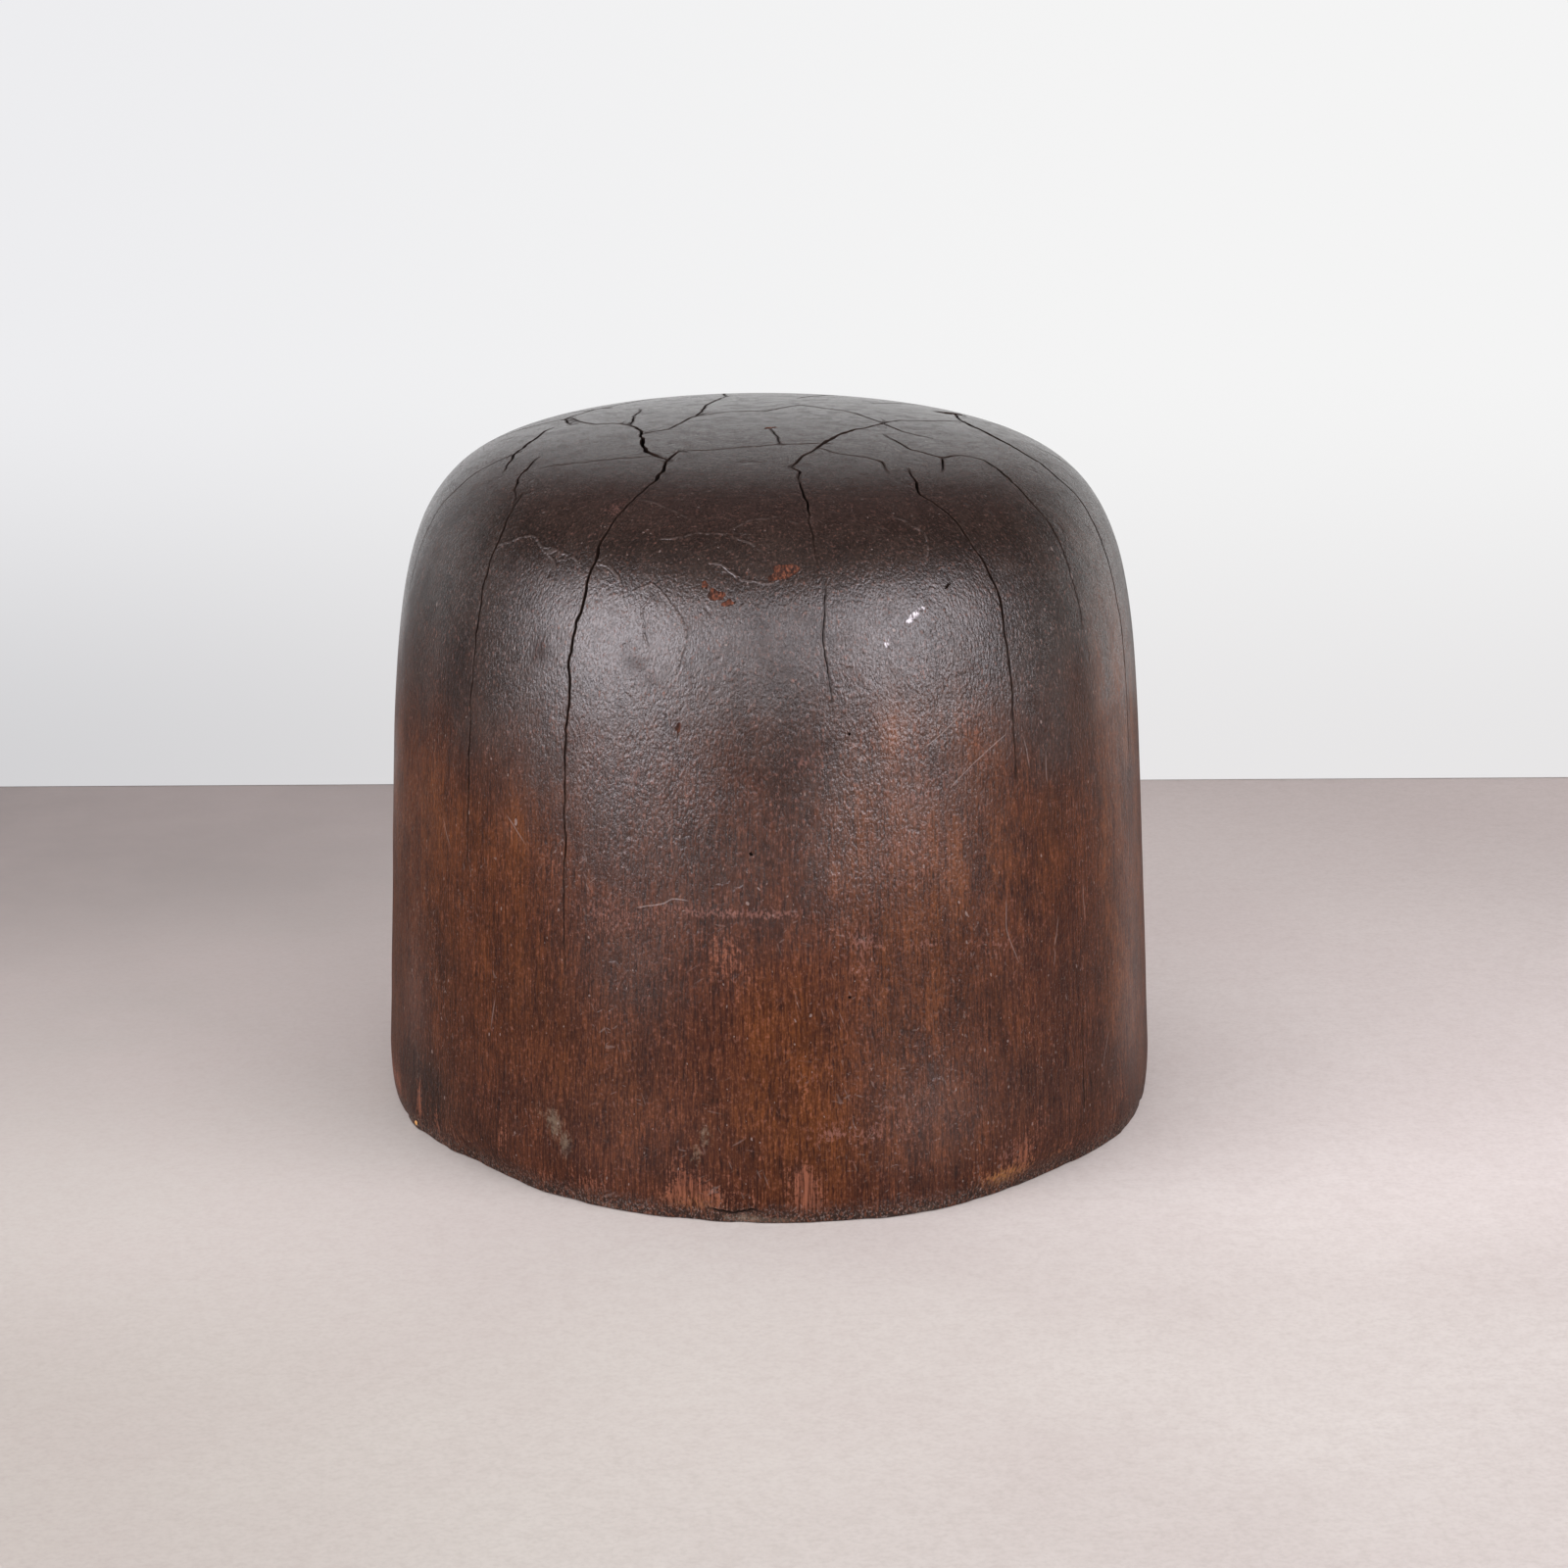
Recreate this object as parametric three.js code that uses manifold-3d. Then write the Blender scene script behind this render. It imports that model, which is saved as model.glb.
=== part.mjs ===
// Wooden hat block with an iron spindle socket screwed into its base.
// Millimetres, +Z up. The origin is the middle of the foot, on the plane that the block stands on.
// The oval's long axis lies along Y. A bearing is 0 at the front (-Y) and grows towards +X.

import * as THREE from "three";
import { mergeVertices } from "three/addons/utils/BufferGeometryUtils.js";
import Module from "manifold-3d";

// The wooden block. The worn edge of the foot takes 0.8 mm off the width and the length, so that it
// measures 165 by 195 mm, or 566 mm round: a block for a head of about 57 cm.
const WIDTH = 165.8; // across the oval, between the lines of its sides at the foot
const LENGTH = 195.8;
const HEIGHT = 143;
const LEAN = 5.8; // how far each side leans in from the foot to the top
const CROWN_RISE = 8; // how far the middle of the top stands above its rim
const SHOULDER_POWER = 8; // 2 would be a round dome, and a large number a square corner
const FOOT_INSET = 0.8; // the worn edge draws in by this much, down from FOOT_INSET_HEIGHT
const FOOT_INSET_HEIGHT = 9.6;

// The iron socket in the base
const GAP = 0.3; // clearance between pieces that touch
const FLANGE_RADIUS = 38;
const FLANGE_THICKNESS = 5;
const FLANGE_RECESS = 1; // the flange's face lies this far above the plane of the foot
const HUB_RADIUS = 20;
const HUB_TOP = 46;
const HUB_FILLET = 2;
const SPINDLE_RADIUS = 13; // bore for a one-inch spindle
const MOUTH_CHAMFER = 1;
const SOCKET_TOP = 60; // the spindle's bore goes on into the wood past the hub
const DRILL_POINT = 4;

// The four slotted wood screws that hold the flange
const SCREW_COUNT = 4;
const SCREW_CIRCLE_RADIUS = 29;
const SCREW_LENGTH = 32;
const SCREW_SINK = 0.2; // the head lies this far above the flange's face
const HEAD_RADIUS = 4.7;
const HEAD_RIM = 0.4;
const SHANK_RADIUS = 2.4;
const THREAD_LENGTH = 19;
const THREAD_ROOT_RADIUS = 1.7;
const THREAD_PITCH = 2.1;
const POINT_LENGTH = 5;
const SLOT_WIDTH = 1.2;
const SLOT_DEPTH = 1.3;

// Drying checks: wedge-shaped splits in the wood that run out from the pith and down the side.
// Each has its bearing in degrees and, as distances from the middle of the top along the surface,
// where it starts and ends, then the width of its mouth, its depth, and by how many degrees it
// wanders to each side.
const CHECKS = [
  { bearing: -37, start: 37, end: 146, mouth: 0.8, depth: 7, wander: 1.4 },
  { bearing: -56, start: 62, end: 137, mouth: 0.5, depth: 4, wander: 0.6 },
  { bearing: 1.2, start: 34, end: 100, mouth: 0.5, depth: 4, wander: 0.5 },
  { bearing: 30, start: 50, end: 108, mouth: 0.6, depth: 5, wander: 0.8 },
  { bearing: 49.5, start: 40, end: 90, mouth: 0.5, depth: 4, wander: 0.8 },
  { bearing: 65, start: 54, end: 112, mouth: 0.7, depth: 5, wander: 0.9 },
];
const CHECK_STEPS = 18;
const CHECK_STAND_OFF = 1.5; // the cutting wedge starts this far outside the wood

// Smoothness
const OVAL_STEPS = 92;
const FOOT_STEPS = 4;
const PROFILE_STEPS = 24;
const SHOULDER_BIAS = 0.5; // 0 spreads the section's points evenly, and 1 packs them at the shoulder
const ROUND_STEPS = 48;
const SCREW_STEPS = 16;

const wasm = await Module();
wasm.setup();

function solidFrom(geometry) {
  const bare = geometry.clone();
  bare.deleteAttribute("normal");
  bare.deleteAttribute("uv");
  const merged = mergeVertices(bare, 1e-4);
  return new wasm.Manifold(
    new wasm.Mesh({
      numProp: 3,
      vertProperties: new Float32Array(merged.attributes.position.array),
      triVerts: new Uint32Array(merged.index.array),
    }),
  );
}

function geometryFrom(solid) {
  const mesh = solid.getMesh();
  const geometry = new THREE.BufferGeometry();
  geometry.setAttribute("position", new THREE.BufferAttribute(mesh.vertProperties, 3));
  geometry.setIndex(new THREE.BufferAttribute(mesh.triVerts, 1));
  geometry.computeVertexNormals();
  return geometry;
}

// A round solid about Z. The outline is a list of [radius, height] that goes up from the axis at
// the bottom to the axis at the top, or closes on itself with the material on its left.
function turned(outline, steps) {
  const points = outline.map(([radius, height]) => new THREE.Vector2(radius, height));
  return solidFrom(new THREE.LatheGeometry(points, steps).rotateX(Math.PI / 2));
}

// One point of the block's upright section, for a direction from 0 (straight out) to a right angle
// (straight up). It is a superellipse whose sides lean in and whose top is domed.
function sectionPoint(direction) {
  const across = Math.cos(direction);
  const up = Math.sin(direction);
  const reach = (across ** SHOULDER_POWER + up ** SHOULDER_POWER) ** (-1 / SHOULDER_POWER);
  const out = across * reach;
  const rise = up * reach;
  const height = rise * (HEIGHT - CROWN_RISE * out * out);
  const tuck = Math.max(0, 1 - height / FOOT_INSET_HEIGHT);
  const radius = out * (WIDTH / 2 - LEAN * rise) - FOOT_INSET * tuck * tuck;
  return [Math.max(0, radius), height];
}

// The section from the foot to the middle of the top: first the worn edge, and then the rest, with
// its points packed at the shoulder.
function section(footSteps, steps) {
  const wornEdge = Array.from({ length: footSteps }, (_, i) =>
    Math.atan2((FOOT_INSET_HEIGHT * i) / footSteps, HEIGHT - CROWN_RISE),
  );
  const first = Math.atan2(FOOT_INSET_HEIGHT, HEIGHT - CROWN_RISE);
  const rest = Array.from({ length: steps + 1 }, (_, i) => {
    const s = (2 * i) / steps - 1;
    const packed = s * (1 - SHOULDER_BIAS + SHOULDER_BIAS * s * s);
    return first + ((Math.PI / 2 - first) * (1 + packed)) / 2;
  });
  return [...wornEdge, ...rest].map(sectionPoint);
}

function onOval(radius, height, bearing) {
  const stretch = LENGTH / WIDTH;
  return [radius * Math.sin(bearing), -radius * stretch * Math.cos(bearing), height];
}

function blockBlank() {
  const rings = section(FOOT_STEPS, PROFILE_STEPS).slice(0, -1);
  const positions = [];
  for (const [radius, height] of rings)
    for (let j = 0; j < OVAL_STEPS; j++)
      positions.push(...onOval(radius, height, (2 * Math.PI * j) / OVAL_STEPS));
  const footCentre = rings.length * OVAL_STEPS;
  const topCentre = footCentre + 1;
  positions.push(0, 0, 0, 0, 0, HEIGHT);
  const faces = [];
  const lastRing = (rings.length - 1) * OVAL_STEPS;
  for (let j = 0; j < OVAL_STEPS; j++) {
    const next = (j + 1) % OVAL_STEPS;
    faces.push(footCentre, next, j);
    faces.push(topCentre, lastRing + j, lastRing + next);
    for (let ring = 0; ring < lastRing; ring += OVAL_STEPS) {
      faces.push(ring + j, ring + next, ring + OVAL_STEPS + next);
      faces.push(ring + j, ring + OVAL_STEPS + next, ring + OVAL_STEPS + j);
    }
  }
  const geometry = new THREE.BufferGeometry();
  geometry.setAttribute("position", new THREE.Float32BufferAttribute(positions, 3));
  geometry.setIndex(faces);
  return solidFrom(geometry);
}

// The wedge that cuts one check. At each step along the surface it has two points outside the
// wood, apart by the mouth's width, and one inside the wood. Both ends run out to the surface.
function checkWedge({ bearing, start, end, mouth, depth, wander }) {
  const fine = section(40, 400).reverse();
  const lengths = [0];
  for (let i = 1; i < fine.length; i++)
    lengths.push(
      lengths[i - 1] + Math.hypot(fine[i][0] - fine[i - 1][0], fine[i][1] - fine[i - 1][1]),
    );
  const positions = [];
  for (let k = 0; k <= CHECK_STEPS; k++) {
    const share = k / CHECK_STEPS;
    const distance = start + (end - start) * share;
    const i = Math.max(1, lengths.findIndex((length) => length > distance));
    const along = new THREE.Vector2(...fine[i]).sub(new THREE.Vector2(...fine[i - 1])).normalize();
    const outward = new THREE.Vector2(-along.y, along.x);
    const open = Math.sqrt(Math.sin(Math.PI * (0.04 + 0.92 * share)));
    const swing = wander * Math.sin(9 * share) * Math.cos(4 * share);
    const turn = THREE.MathUtils.degToRad(bearing + swing);
    const [radius, height] = fine[i];
    for (const [reach, side] of [
      [CHECK_STAND_OFF, 0.5],
      [CHECK_STAND_OFF, -0.5],
      [-depth * open, 0],
    ]) {
      const flare = (mouth * open * (depth + CHECK_STAND_OFF)) / depth;
      const r = radius + outward.x * reach;
      const [x, y, z] = onOval(r, height + outward.y * reach, turn);
      const aside = side * flare;
      positions.push(x + aside * Math.cos(turn), y + aside * Math.sin(turn), z);
    }
  }
  const faces = [0, 1, 2];
  const last = 3 * CHECK_STEPS;
  faces.push(last, last + 2, last + 1);
  for (let k = 0; k < last; k += 3)
    for (let c = 0; c < 3; c++) {
      const d = (c + 1) % 3;
      faces.push(k + c, k + 3 + c, k + 3 + d, k + c, k + 3 + d, k + d);
    }
  const geometry = new THREE.BufferGeometry();
  geometry.setAttribute("position", new THREE.Float32BufferAttribute(positions, 3));
  geometry.setIndex(faces);
  return solidFrom(geometry);
}

// The hollow for the flange and its hub, and the narrower bore that runs on past the hub.
function socketHollow() {
  const recess = FLANGE_RADIUS + GAP;
  const hubBore = HUB_RADIUS + GAP;
  const spindleBore = SPINDLE_RADIUS + GAP;
  const shelf = FLANGE_RECESS + FLANGE_THICKNESS + GAP;
  return turned(
    [
      [0, -1],
      [recess, -1],
      [recess, shelf],
      [hubBore + HUB_FILLET, shelf],
      [hubBore, shelf + HUB_FILLET],
      [hubBore, HUB_TOP + GAP],
      [spindleBore, HUB_TOP + GAP],
      [spindleBore, SOCKET_TOP - DRILL_POINT],
      [0, SOCKET_TOP],
    ],
    ROUND_STEPS,
  );
}

// A screw stands on its head: the head's face is at height 0 and the point is up. With room added
// all round, the same outline cuts the screw's hole.
function screwBlank(room) {
  const headCone = HEAD_RADIUS - SHANK_RADIUS;
  const shankTop = SCREW_LENGTH - THREAD_LENGTH;
  const outline = [
    [0, -room],
    [HEAD_RADIUS + room, -room],
    [HEAD_RADIUS + room, HEAD_RIM],
    [SHANK_RADIUS + room, HEAD_RIM + headCone],
    [SHANK_RADIUS + room, shankTop],
  ];
  const threadEnd = SCREW_LENGTH - POINT_LENGTH;
  if (room > 0) outline.push([SHANK_RADIUS + room, threadEnd]);
  else
    for (let z = shankTop; z + THREAD_PITCH <= threadEnd; z += THREAD_PITCH) {
      outline.push([THREAD_ROOT_RADIUS, z + THREAD_PITCH / 2]);
      outline.push([SHANK_RADIUS, z + THREAD_PITCH]);
    }
  outline.push([0, SCREW_LENGTH + room]);
  return turned(outline, SCREW_STEPS);
}

function screwPlaces() {
  return Array.from({ length: SCREW_COUNT }, (_, i) => {
    const angle = Math.PI / 4 + (2 * Math.PI * i) / SCREW_COUNT;
    return new THREE.Vector3(
      SCREW_CIRCLE_RADIUS * Math.cos(angle),
      SCREW_CIRCLE_RADIUS * Math.sin(angle),
      FLANGE_RECESS + SCREW_SINK,
    );
  });
}

function blockBody() {
  let wood = blockBlank().subtract(socketHollow());
  for (const check of CHECKS) wood = wood.subtract(checkWedge(check));
  for (const place of screwPlaces())
    wood = wood.subtract(screwBlank(GAP).translate([place.x, place.y, place.z]));
  return geometryFrom(wood);
}

function socketFlange() {
  const low = FLANGE_RECESS;
  const high = FLANGE_RECESS + FLANGE_THICKNESS;
  let iron = turned(
    [
      [SPINDLE_RADIUS + MOUTH_CHAMFER, low],
      [FLANGE_RADIUS - MOUTH_CHAMFER, low],
      [FLANGE_RADIUS, low + MOUTH_CHAMFER],
      [FLANGE_RADIUS, high],
      [HUB_RADIUS + HUB_FILLET, high],
      [HUB_RADIUS, high + HUB_FILLET],
      [HUB_RADIUS, HUB_TOP - MOUTH_CHAMFER],
      [HUB_RADIUS - MOUTH_CHAMFER, HUB_TOP],
      [SPINDLE_RADIUS, HUB_TOP],
      [SPINDLE_RADIUS, low + MOUTH_CHAMFER],
      [SPINDLE_RADIUS + MOUTH_CHAMFER, low],
    ],
    ROUND_STEPS,
  );
  for (const place of screwPlaces())
    iron = iron.subtract(screwBlank(GAP).translate([place.x, place.y, place.z]));
  return geometryFrom(iron);
}

function screw() {
  const slot = new THREE.BoxGeometry(3 * HEAD_RADIUS, SLOT_WIDTH, 2 * SLOT_DEPTH);
  return geometryFrom(screwBlank(0).subtract(solidFrom(slot)));
}

function named(name, geometry, look) {
  const mesh = new THREE.Mesh(geometry, new THREE.MeshStandardMaterial(look));
  mesh.name = name;
  return mesh;
}

const hatBlock = new THREE.Group();

hatBlock.add(
  named("block_body", blockBody(), { color: 0x3a1d12, roughness: 0.38, metalness: 0 }),
  named("socket_flange", socketFlange(), { color: 0x34302d, roughness: 0.7, metalness: 0.8 }),
);

// Each slot is left at its own angle, as a hand leaves it.
screwPlaces().forEach((place, i) => {
  const fastener = named(`flange_screw_${i + 1}`, screw(), {
    color: 0x6b655e,
    roughness: 0.45,
    metalness: 0.9,
  });
  fastener.position.copy(place);
  fastener.rotation.z = 0.4 + 2.3 * i;
  hatBlock.add(fastener);
});

export default hatBlock;
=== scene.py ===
# %% [markdown]
# # A hatter's block, dressed
# The CAD model of the block is the fixed frame: its foot stands on z = 0, its long axis lies along
# Y, and everything is in metres. Blender adds what the lathe-smooth solid lacks: the drying checks,
# the worn foot, the lacquer and the wood under it. Everything stays inside the box that the frame
# has before anything is added, so that box is kept first.

# %% Load the frame
import math

import bpy
import numpy as np
from mathutils import Matrix, Vector


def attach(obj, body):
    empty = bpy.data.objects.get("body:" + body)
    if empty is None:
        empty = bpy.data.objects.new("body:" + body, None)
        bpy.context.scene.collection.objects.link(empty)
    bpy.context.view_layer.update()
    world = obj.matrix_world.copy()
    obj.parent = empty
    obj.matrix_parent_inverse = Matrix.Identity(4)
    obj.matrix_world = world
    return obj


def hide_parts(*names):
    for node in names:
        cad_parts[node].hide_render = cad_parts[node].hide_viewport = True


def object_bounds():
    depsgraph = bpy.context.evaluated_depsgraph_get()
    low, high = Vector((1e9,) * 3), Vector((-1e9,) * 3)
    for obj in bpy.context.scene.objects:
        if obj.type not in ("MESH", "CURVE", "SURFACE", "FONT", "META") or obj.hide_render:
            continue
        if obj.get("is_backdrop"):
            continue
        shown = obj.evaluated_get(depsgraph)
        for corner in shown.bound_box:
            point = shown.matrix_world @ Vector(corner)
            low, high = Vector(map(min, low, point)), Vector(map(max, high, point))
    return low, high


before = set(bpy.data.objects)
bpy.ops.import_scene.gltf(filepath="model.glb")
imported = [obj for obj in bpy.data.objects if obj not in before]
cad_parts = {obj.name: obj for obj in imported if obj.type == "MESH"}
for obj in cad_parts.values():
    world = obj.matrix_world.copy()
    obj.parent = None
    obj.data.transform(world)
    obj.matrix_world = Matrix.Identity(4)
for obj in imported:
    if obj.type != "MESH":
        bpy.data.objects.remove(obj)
CAD_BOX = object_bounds()
MM = 0.001
print("CAD box in mm:", [[round(v / MM, 2) for v in corner] for corner in CAD_BOX])

# %% [markdown]
# ## The camera
# The photograph looks down at the block by 15 degrees from about 85 cm away, a little to the left
# of its long axis. A 90 mm lens on a 36 mm sensor gives the flat perspective of such a product
# shot. The numbers are the camera's real place, worked out from the outline of the block.

# %% Camera
CAMERA_DISTANCE = 0.848
CAMERA_PITCH = math.radians(15)
CAMERA_TURN = math.radians(-6.53)
CAMERA_ROLL = -0.006
LENS_MM = 90
SENSOR_MM = 36
AIM = Vector((0.0039, -0.0004, 0.0634))


def as_seen(x, y, z):
    """A place or direction given as the camera sees it (x right, y away), turned into the frame."""
    return Matrix.Rotation(CAMERA_TURN, 3, "Z") @ Vector((x, y, z))


def link(name, data):
    """Puts a mesh, a lamp or a camera into the scene."""
    made = bpy.data.objects.new(name, data)
    bpy.context.scene.collection.objects.link(made)
    return made


def add_camera():
    data = bpy.data.cameras.new("camera")
    data.lens = LENS_MM
    data.sensor_width = SENSOR_MM
    camera = link("camera", data)
    ahead = as_seen(0, math.cos(CAMERA_PITCH), -math.sin(CAMERA_PITCH))
    camera.location = AIM - ahead * CAMERA_DISTANCE
    look = ahead.to_track_quat("-Z", "Y").to_matrix() @ Matrix.Rotation(CAMERA_ROLL, 3, "Z")
    camera.rotation_euler = look.to_euler()
    bpy.context.scene.camera = camera
    print("camera at", [round(v, 3) for v in camera.location])


add_camera()

# %% [markdown]
# ## Node trees without the mouse
# Materials are graphs, and a graph reads best as a sum. So an output socket is wrapped in a Value,
# which knows the tree that it belongs to: adding, subtracting and multiplying Values puts the Math
# nodes into that tree. One helper makes any other node and feeds its inputs.


# %% Values and nodes
class Value:
    """An output socket to reckon with."""

    def __init__(self, socket):
        self.socket = socket
        self.tree = socket.id_data

    def __add__(self, other):
        return maths("ADD", self, other)

    def __sub__(self, other):
        return maths("SUBTRACT", self, other)

    def __rsub__(self, other):
        return maths("SUBTRACT", other, self)

    def __mul__(self, other):
        return maths("MULTIPLY", self, other)

    __radd__ = __add__
    __rmul__ = __mul__


def feed(target, value):
    """Gives an input socket its value: a link, the three numbers of a colour, or plain numbers."""
    if isinstance(value, Value):
        value.tree.links.new(value.socket, target)
    else:
        target.default_value = (*value, 1) if target.type == "RGBA" else value


def node(tree, kind, which=0, **settings):
    """Adds a node. A setting names a property, or an input socket if it starts with in_. Returns the
    output that which names or counts, or all of them by name if it is None."""
    made = tree.nodes.new(kind)
    for key, value in settings.items():
        if key.startswith("in_"):
            name = key[3:].replace("_", " ")
            feed(made.inputs[int(name) if name.isdigit() else name], value)
        else:
            setattr(made, key, value)
    if which is None:
        return {socket.name: Value(socket) for socket in made.outputs}
    return Value(made.outputs[which])


def tree_of(values):
    """The tree of the first Value among several values."""
    return next(value.tree for value in values if isinstance(value, Value))


def maths(operation, *values, clamp=False):
    """One Math node with numbers or Values as its inputs."""
    inputs = {f"in_{k}": value for k, value in enumerate(values)}
    return node(tree_of(values), "ShaderNodeMath", operation=operation, use_clamp=clamp, **inputs)


def most(first, *others):
    """The largest of several values."""
    for other in others:
        first = maths("MAXIMUM", first, other)
    return first


print("Values can be added, subtracted and multiplied")

# %% [markdown]
# ## Patterns and coats of colour
# Mapping, Noise and Voronoi all start from Object coordinates, so a pattern is as large on the block
# as the number says, whatever the mesh under it. Colours are laid over each other like coats of
# paint. Each coat has a factor that says where it covers.


# %% Helpers for patterns and colours
def remap(value, low, high, to_low=0.0, to_high=1.0):
    """Stretches low..high of a value to to_low..to_high with an S curve, and holds it outside."""
    return node(value.tree, "ShaderNodeMapRange", interpolation_type="SMOOTHSTEP", in_Value=value,
                in_From_Min=low, in_From_Max=high, in_To_Min=to_low, in_To_Max=to_high)


def blended(factor, a, b, mode="MIX"):
    """Mixes two colours. Each is a Value or a tuple of linear red, green and blue."""
    return node(tree_of((factor, a, b)), "ShaderNodeMix", 2, data_type="RGBA", blend_type=mode,
                in_0=factor, in_6=a, in_7=b)


def shade_of(depth):
    """A share of grey that keeps what it darkens warm, as dirt in the grain does."""
    return depth, depth * 0.9, depth * 0.85


def layered(colour, *coats):
    """Lays coats over a colour in turn. A coat is (factor, colour), or (factor, number) where it
    darkens what lies under it to that share."""
    for factor, coat in coats:
        if isinstance(coat, float):
            colour = blended(factor, colour, shade_of(coat), "MULTIPLY")
        else:
            colour = blended(factor, colour, coat)
    return colour


def noise(place, scale, detail=3.0, roughness=0.55, distortion=0.0):
    """A fractal noise from 0 to 1. Scale is in features to the metre."""
    return node(place.tree, "ShaderNodeTexNoise", "Fac", in_Vector=place, in_Scale=scale,
                in_Detail=detail, in_Roughness=roughness, in_Distortion=distortion)


def stretched(place, along):
    """A place squeezed along Z, so that a noise on it runs upright like grain."""
    return node(place.tree, "ShaderNodeMapping", in_Vector=place, in_Scale=(1, 1, along))


def parts_of(place):
    """X, Y and Z of a place, by name."""
    return node(place.tree, "ShaderNodeSeparateXYZ", None, in_0=place)


def from_axis(place):
    """How far a place is from the upright axis: the length of what is left without Z."""
    parts = parts_of(place)
    level = node(place.tree, "ShaderNodeCombineXYZ", in_X=parts["X"], in_Y=parts["Y"])
    return node(place.tree, "ShaderNodeVectorMath", "Value", operation="LENGTH", in_0=level)


def painted(tree, name):
    """A mask that is stored on the mesh as a named attribute."""
    return node(tree, "ShaderNodeAttribute", "Fac", attribute_name=name)


print("a shade of 0.5 is", shade_of(0.5))

# %% [markdown]
# ## Groups and materials
# A pattern that several materials share becomes a node group, with the place on the object and a few
# numbers as its inputs. A material starts with its shader alone, and is dressed at the end: each of
# its looks is fed to the input of that name. Relief is written in millimetres, and the Bump node
# turns it into metres.


# %% Helpers for groups and materials
def shared(make, outputs, **numbers):
    """A node group named after the function that makes it. The function gets the place and the
    numbers, and returns a value for each of the outputs."""
    tree = bpy.data.node_groups.new(make.__name__, "ShaderNodeTree")
    new_socket = tree.interface.new_socket
    new_socket("Place", in_out="INPUT", socket_type="NodeSocketVector")
    for key, number in numbers.items():
        new_socket(key, in_out="INPUT", socket_type="NodeSocketFloat").default_value = number
    for key in outputs:
        new_socket(key, in_out="OUTPUT", socket_type="NodeSocketFloat")
    given = tree.nodes.new("NodeGroupInput").outputs
    results = make(*(Value(given[key]) for key in ("Place", *numbers)))
    ends = tree.nodes.new("NodeGroupOutput").inputs
    for key, value in zip(outputs, results):
        feed(ends[key], value)
    return tree


def use(group, place, **numbers):
    """Places a group in the tree of a place. Returns its outputs by name."""
    inputs = {"in_" + key: number for key, number in numbers.items()}
    return node(place.tree, "ShaderNodeGroup", None, node_tree=group, in_Place=place, **inputs)


def new_material(name):
    """An empty material. Returns it with its Principled shader and the place on the object."""
    material = bpy.data.materials.new(name)
    material.use_nodes = True
    tree = material.node_tree
    tree.nodes.clear()
    output = tree.nodes.new("ShaderNodeOutputMaterial")
    shader = tree.nodes.new("ShaderNodeBsdfPrincipled")
    tree.links.new(shader.outputs[0], output.inputs["Surface"])
    return material, shader, node(tree, "ShaderNodeTexCoord", "Object")


def dress(shader, relief=None, **looks):
    """Feeds the shader's inputs by name, and a relief in millimetres to it and its coat as a bump."""
    for name, value in looks.items():
        feed(shader.inputs[name.replace("_", " ")], value)
    if relief is not None:
        bump = node(relief.tree, "ShaderNodeBump", in_Strength=1.0, in_Distance=MM, in_Height=relief)
        feed(shader.inputs["Normal"], bump)
        feed(shader.inputs["Coat Normal"], bump)


def finished(recipe):
    """A material named after its recipe, a function of the place that returns its relief and looks."""
    material, shader, place = new_material(recipe.__name__)
    dress(shader, **recipe(place))
    return material


print("groups and materials can be made")

# %% [markdown]
# ## The studio
# The photograph has a pale concrete floor, a white wall 24 cm behind the block, and soft lamps in
# front. Floor and wall show only from their front, so that views from behind and below aren't blocked.
# The floor takes the lamps' light and the shadow of the block, and has painted shade as well: it is darker
# at the left, towards the wall, away from the block and in front of it. It is painted dark beyond what the
# camera sees, so that it doesn't glare in other views.


# %% Floor
def one_sided(surface):
    """Shows a surface from its front and lets every ray through from behind."""
    tree = surface.tree
    behind = node(tree, "ShaderNodeNewGeometry", "Backfacing")
    clear = node(tree, "ShaderNodeBsdfTransparent")
    shown = node(tree, "ShaderNodeMixShader", in_0=behind, in_1=surface, in_2=clear)
    feed(tree.nodes["Material Output"].inputs["Surface"], shown)


def floor_finish():
    """Trowelled concrete: cloudy and faintly stained. Painted shade makes it darker at the left, towards the
    wall, away from the block and in front of it, and it is painted dark far beyond what the camera sees.
    """
    material, shader, place = new_material("pale_concrete")
    parts, away = parts_of(place), from_axis(place)
    # painted shade: darker at the left and towards the wall
    side = remap(parts["X"], -0.25, 0.25)
    near = blended(side, (0.575, 0.562, 0.500), (0.785, 0.762, 0.715))
    far = blended(side, (0.31, 0.285, 0.265), (0.585, 0.54, 0.50))
    concrete_and_painted_shade = blended(remap(parts["Y"], -0.25, 0.26), near, far)
    clouds, grit, sand = noise(place, 9, 5, 0.6), noise(place, 260, 4, 0.7), noise(place, 900, 3, 0.6)
    concrete_and_painted_shade = layered(
        concrete_and_painted_shade,
        (remap(clouds, 0.3, 0.7, 0, 0.35), (0.54, 0.48, 0.45)),
        (remap(grit, 0.35, 0.75, 0, 0.18), (0.42, 0.36, 0.32)),
        (remap(sand, 0.40, 0.70, 0, 0.14), (0.36, 0.32, 0.29)),
    )
    # painted shade: darker more than 13 cm from the axis, and in front of the block
    front = remap(parts["Y"], -0.17, -0.07, 1, 0)
    concrete_and_painted_shade = blended(remap(away, 0.13, 0.28), concrete_and_painted_shade, (0.84, 0.84, 0.84), "MULTIPLY")
    concrete_and_painted_shade = blended(front, concrete_and_painted_shade, (0.86, 0.855, 0.84), "MULTIPLY")
    # painted dark far beyond what the camera sees
    concrete_and_painted_shade = blended(remap(away, 0.42, 0.90), concrete_and_painted_shade, (0.05, 0.048, 0.046))
    dress(shader, Base_Color=concrete_and_painted_shade, Roughness=0.9, Specular_IOR_Level=0.1)
    one_sided(Value(shader.outputs[0]))
    return material


FLOOR = floor_finish()
print(FLOOR.name, "has", len(FLOOR.node_tree.nodes), "nodes")
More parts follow.
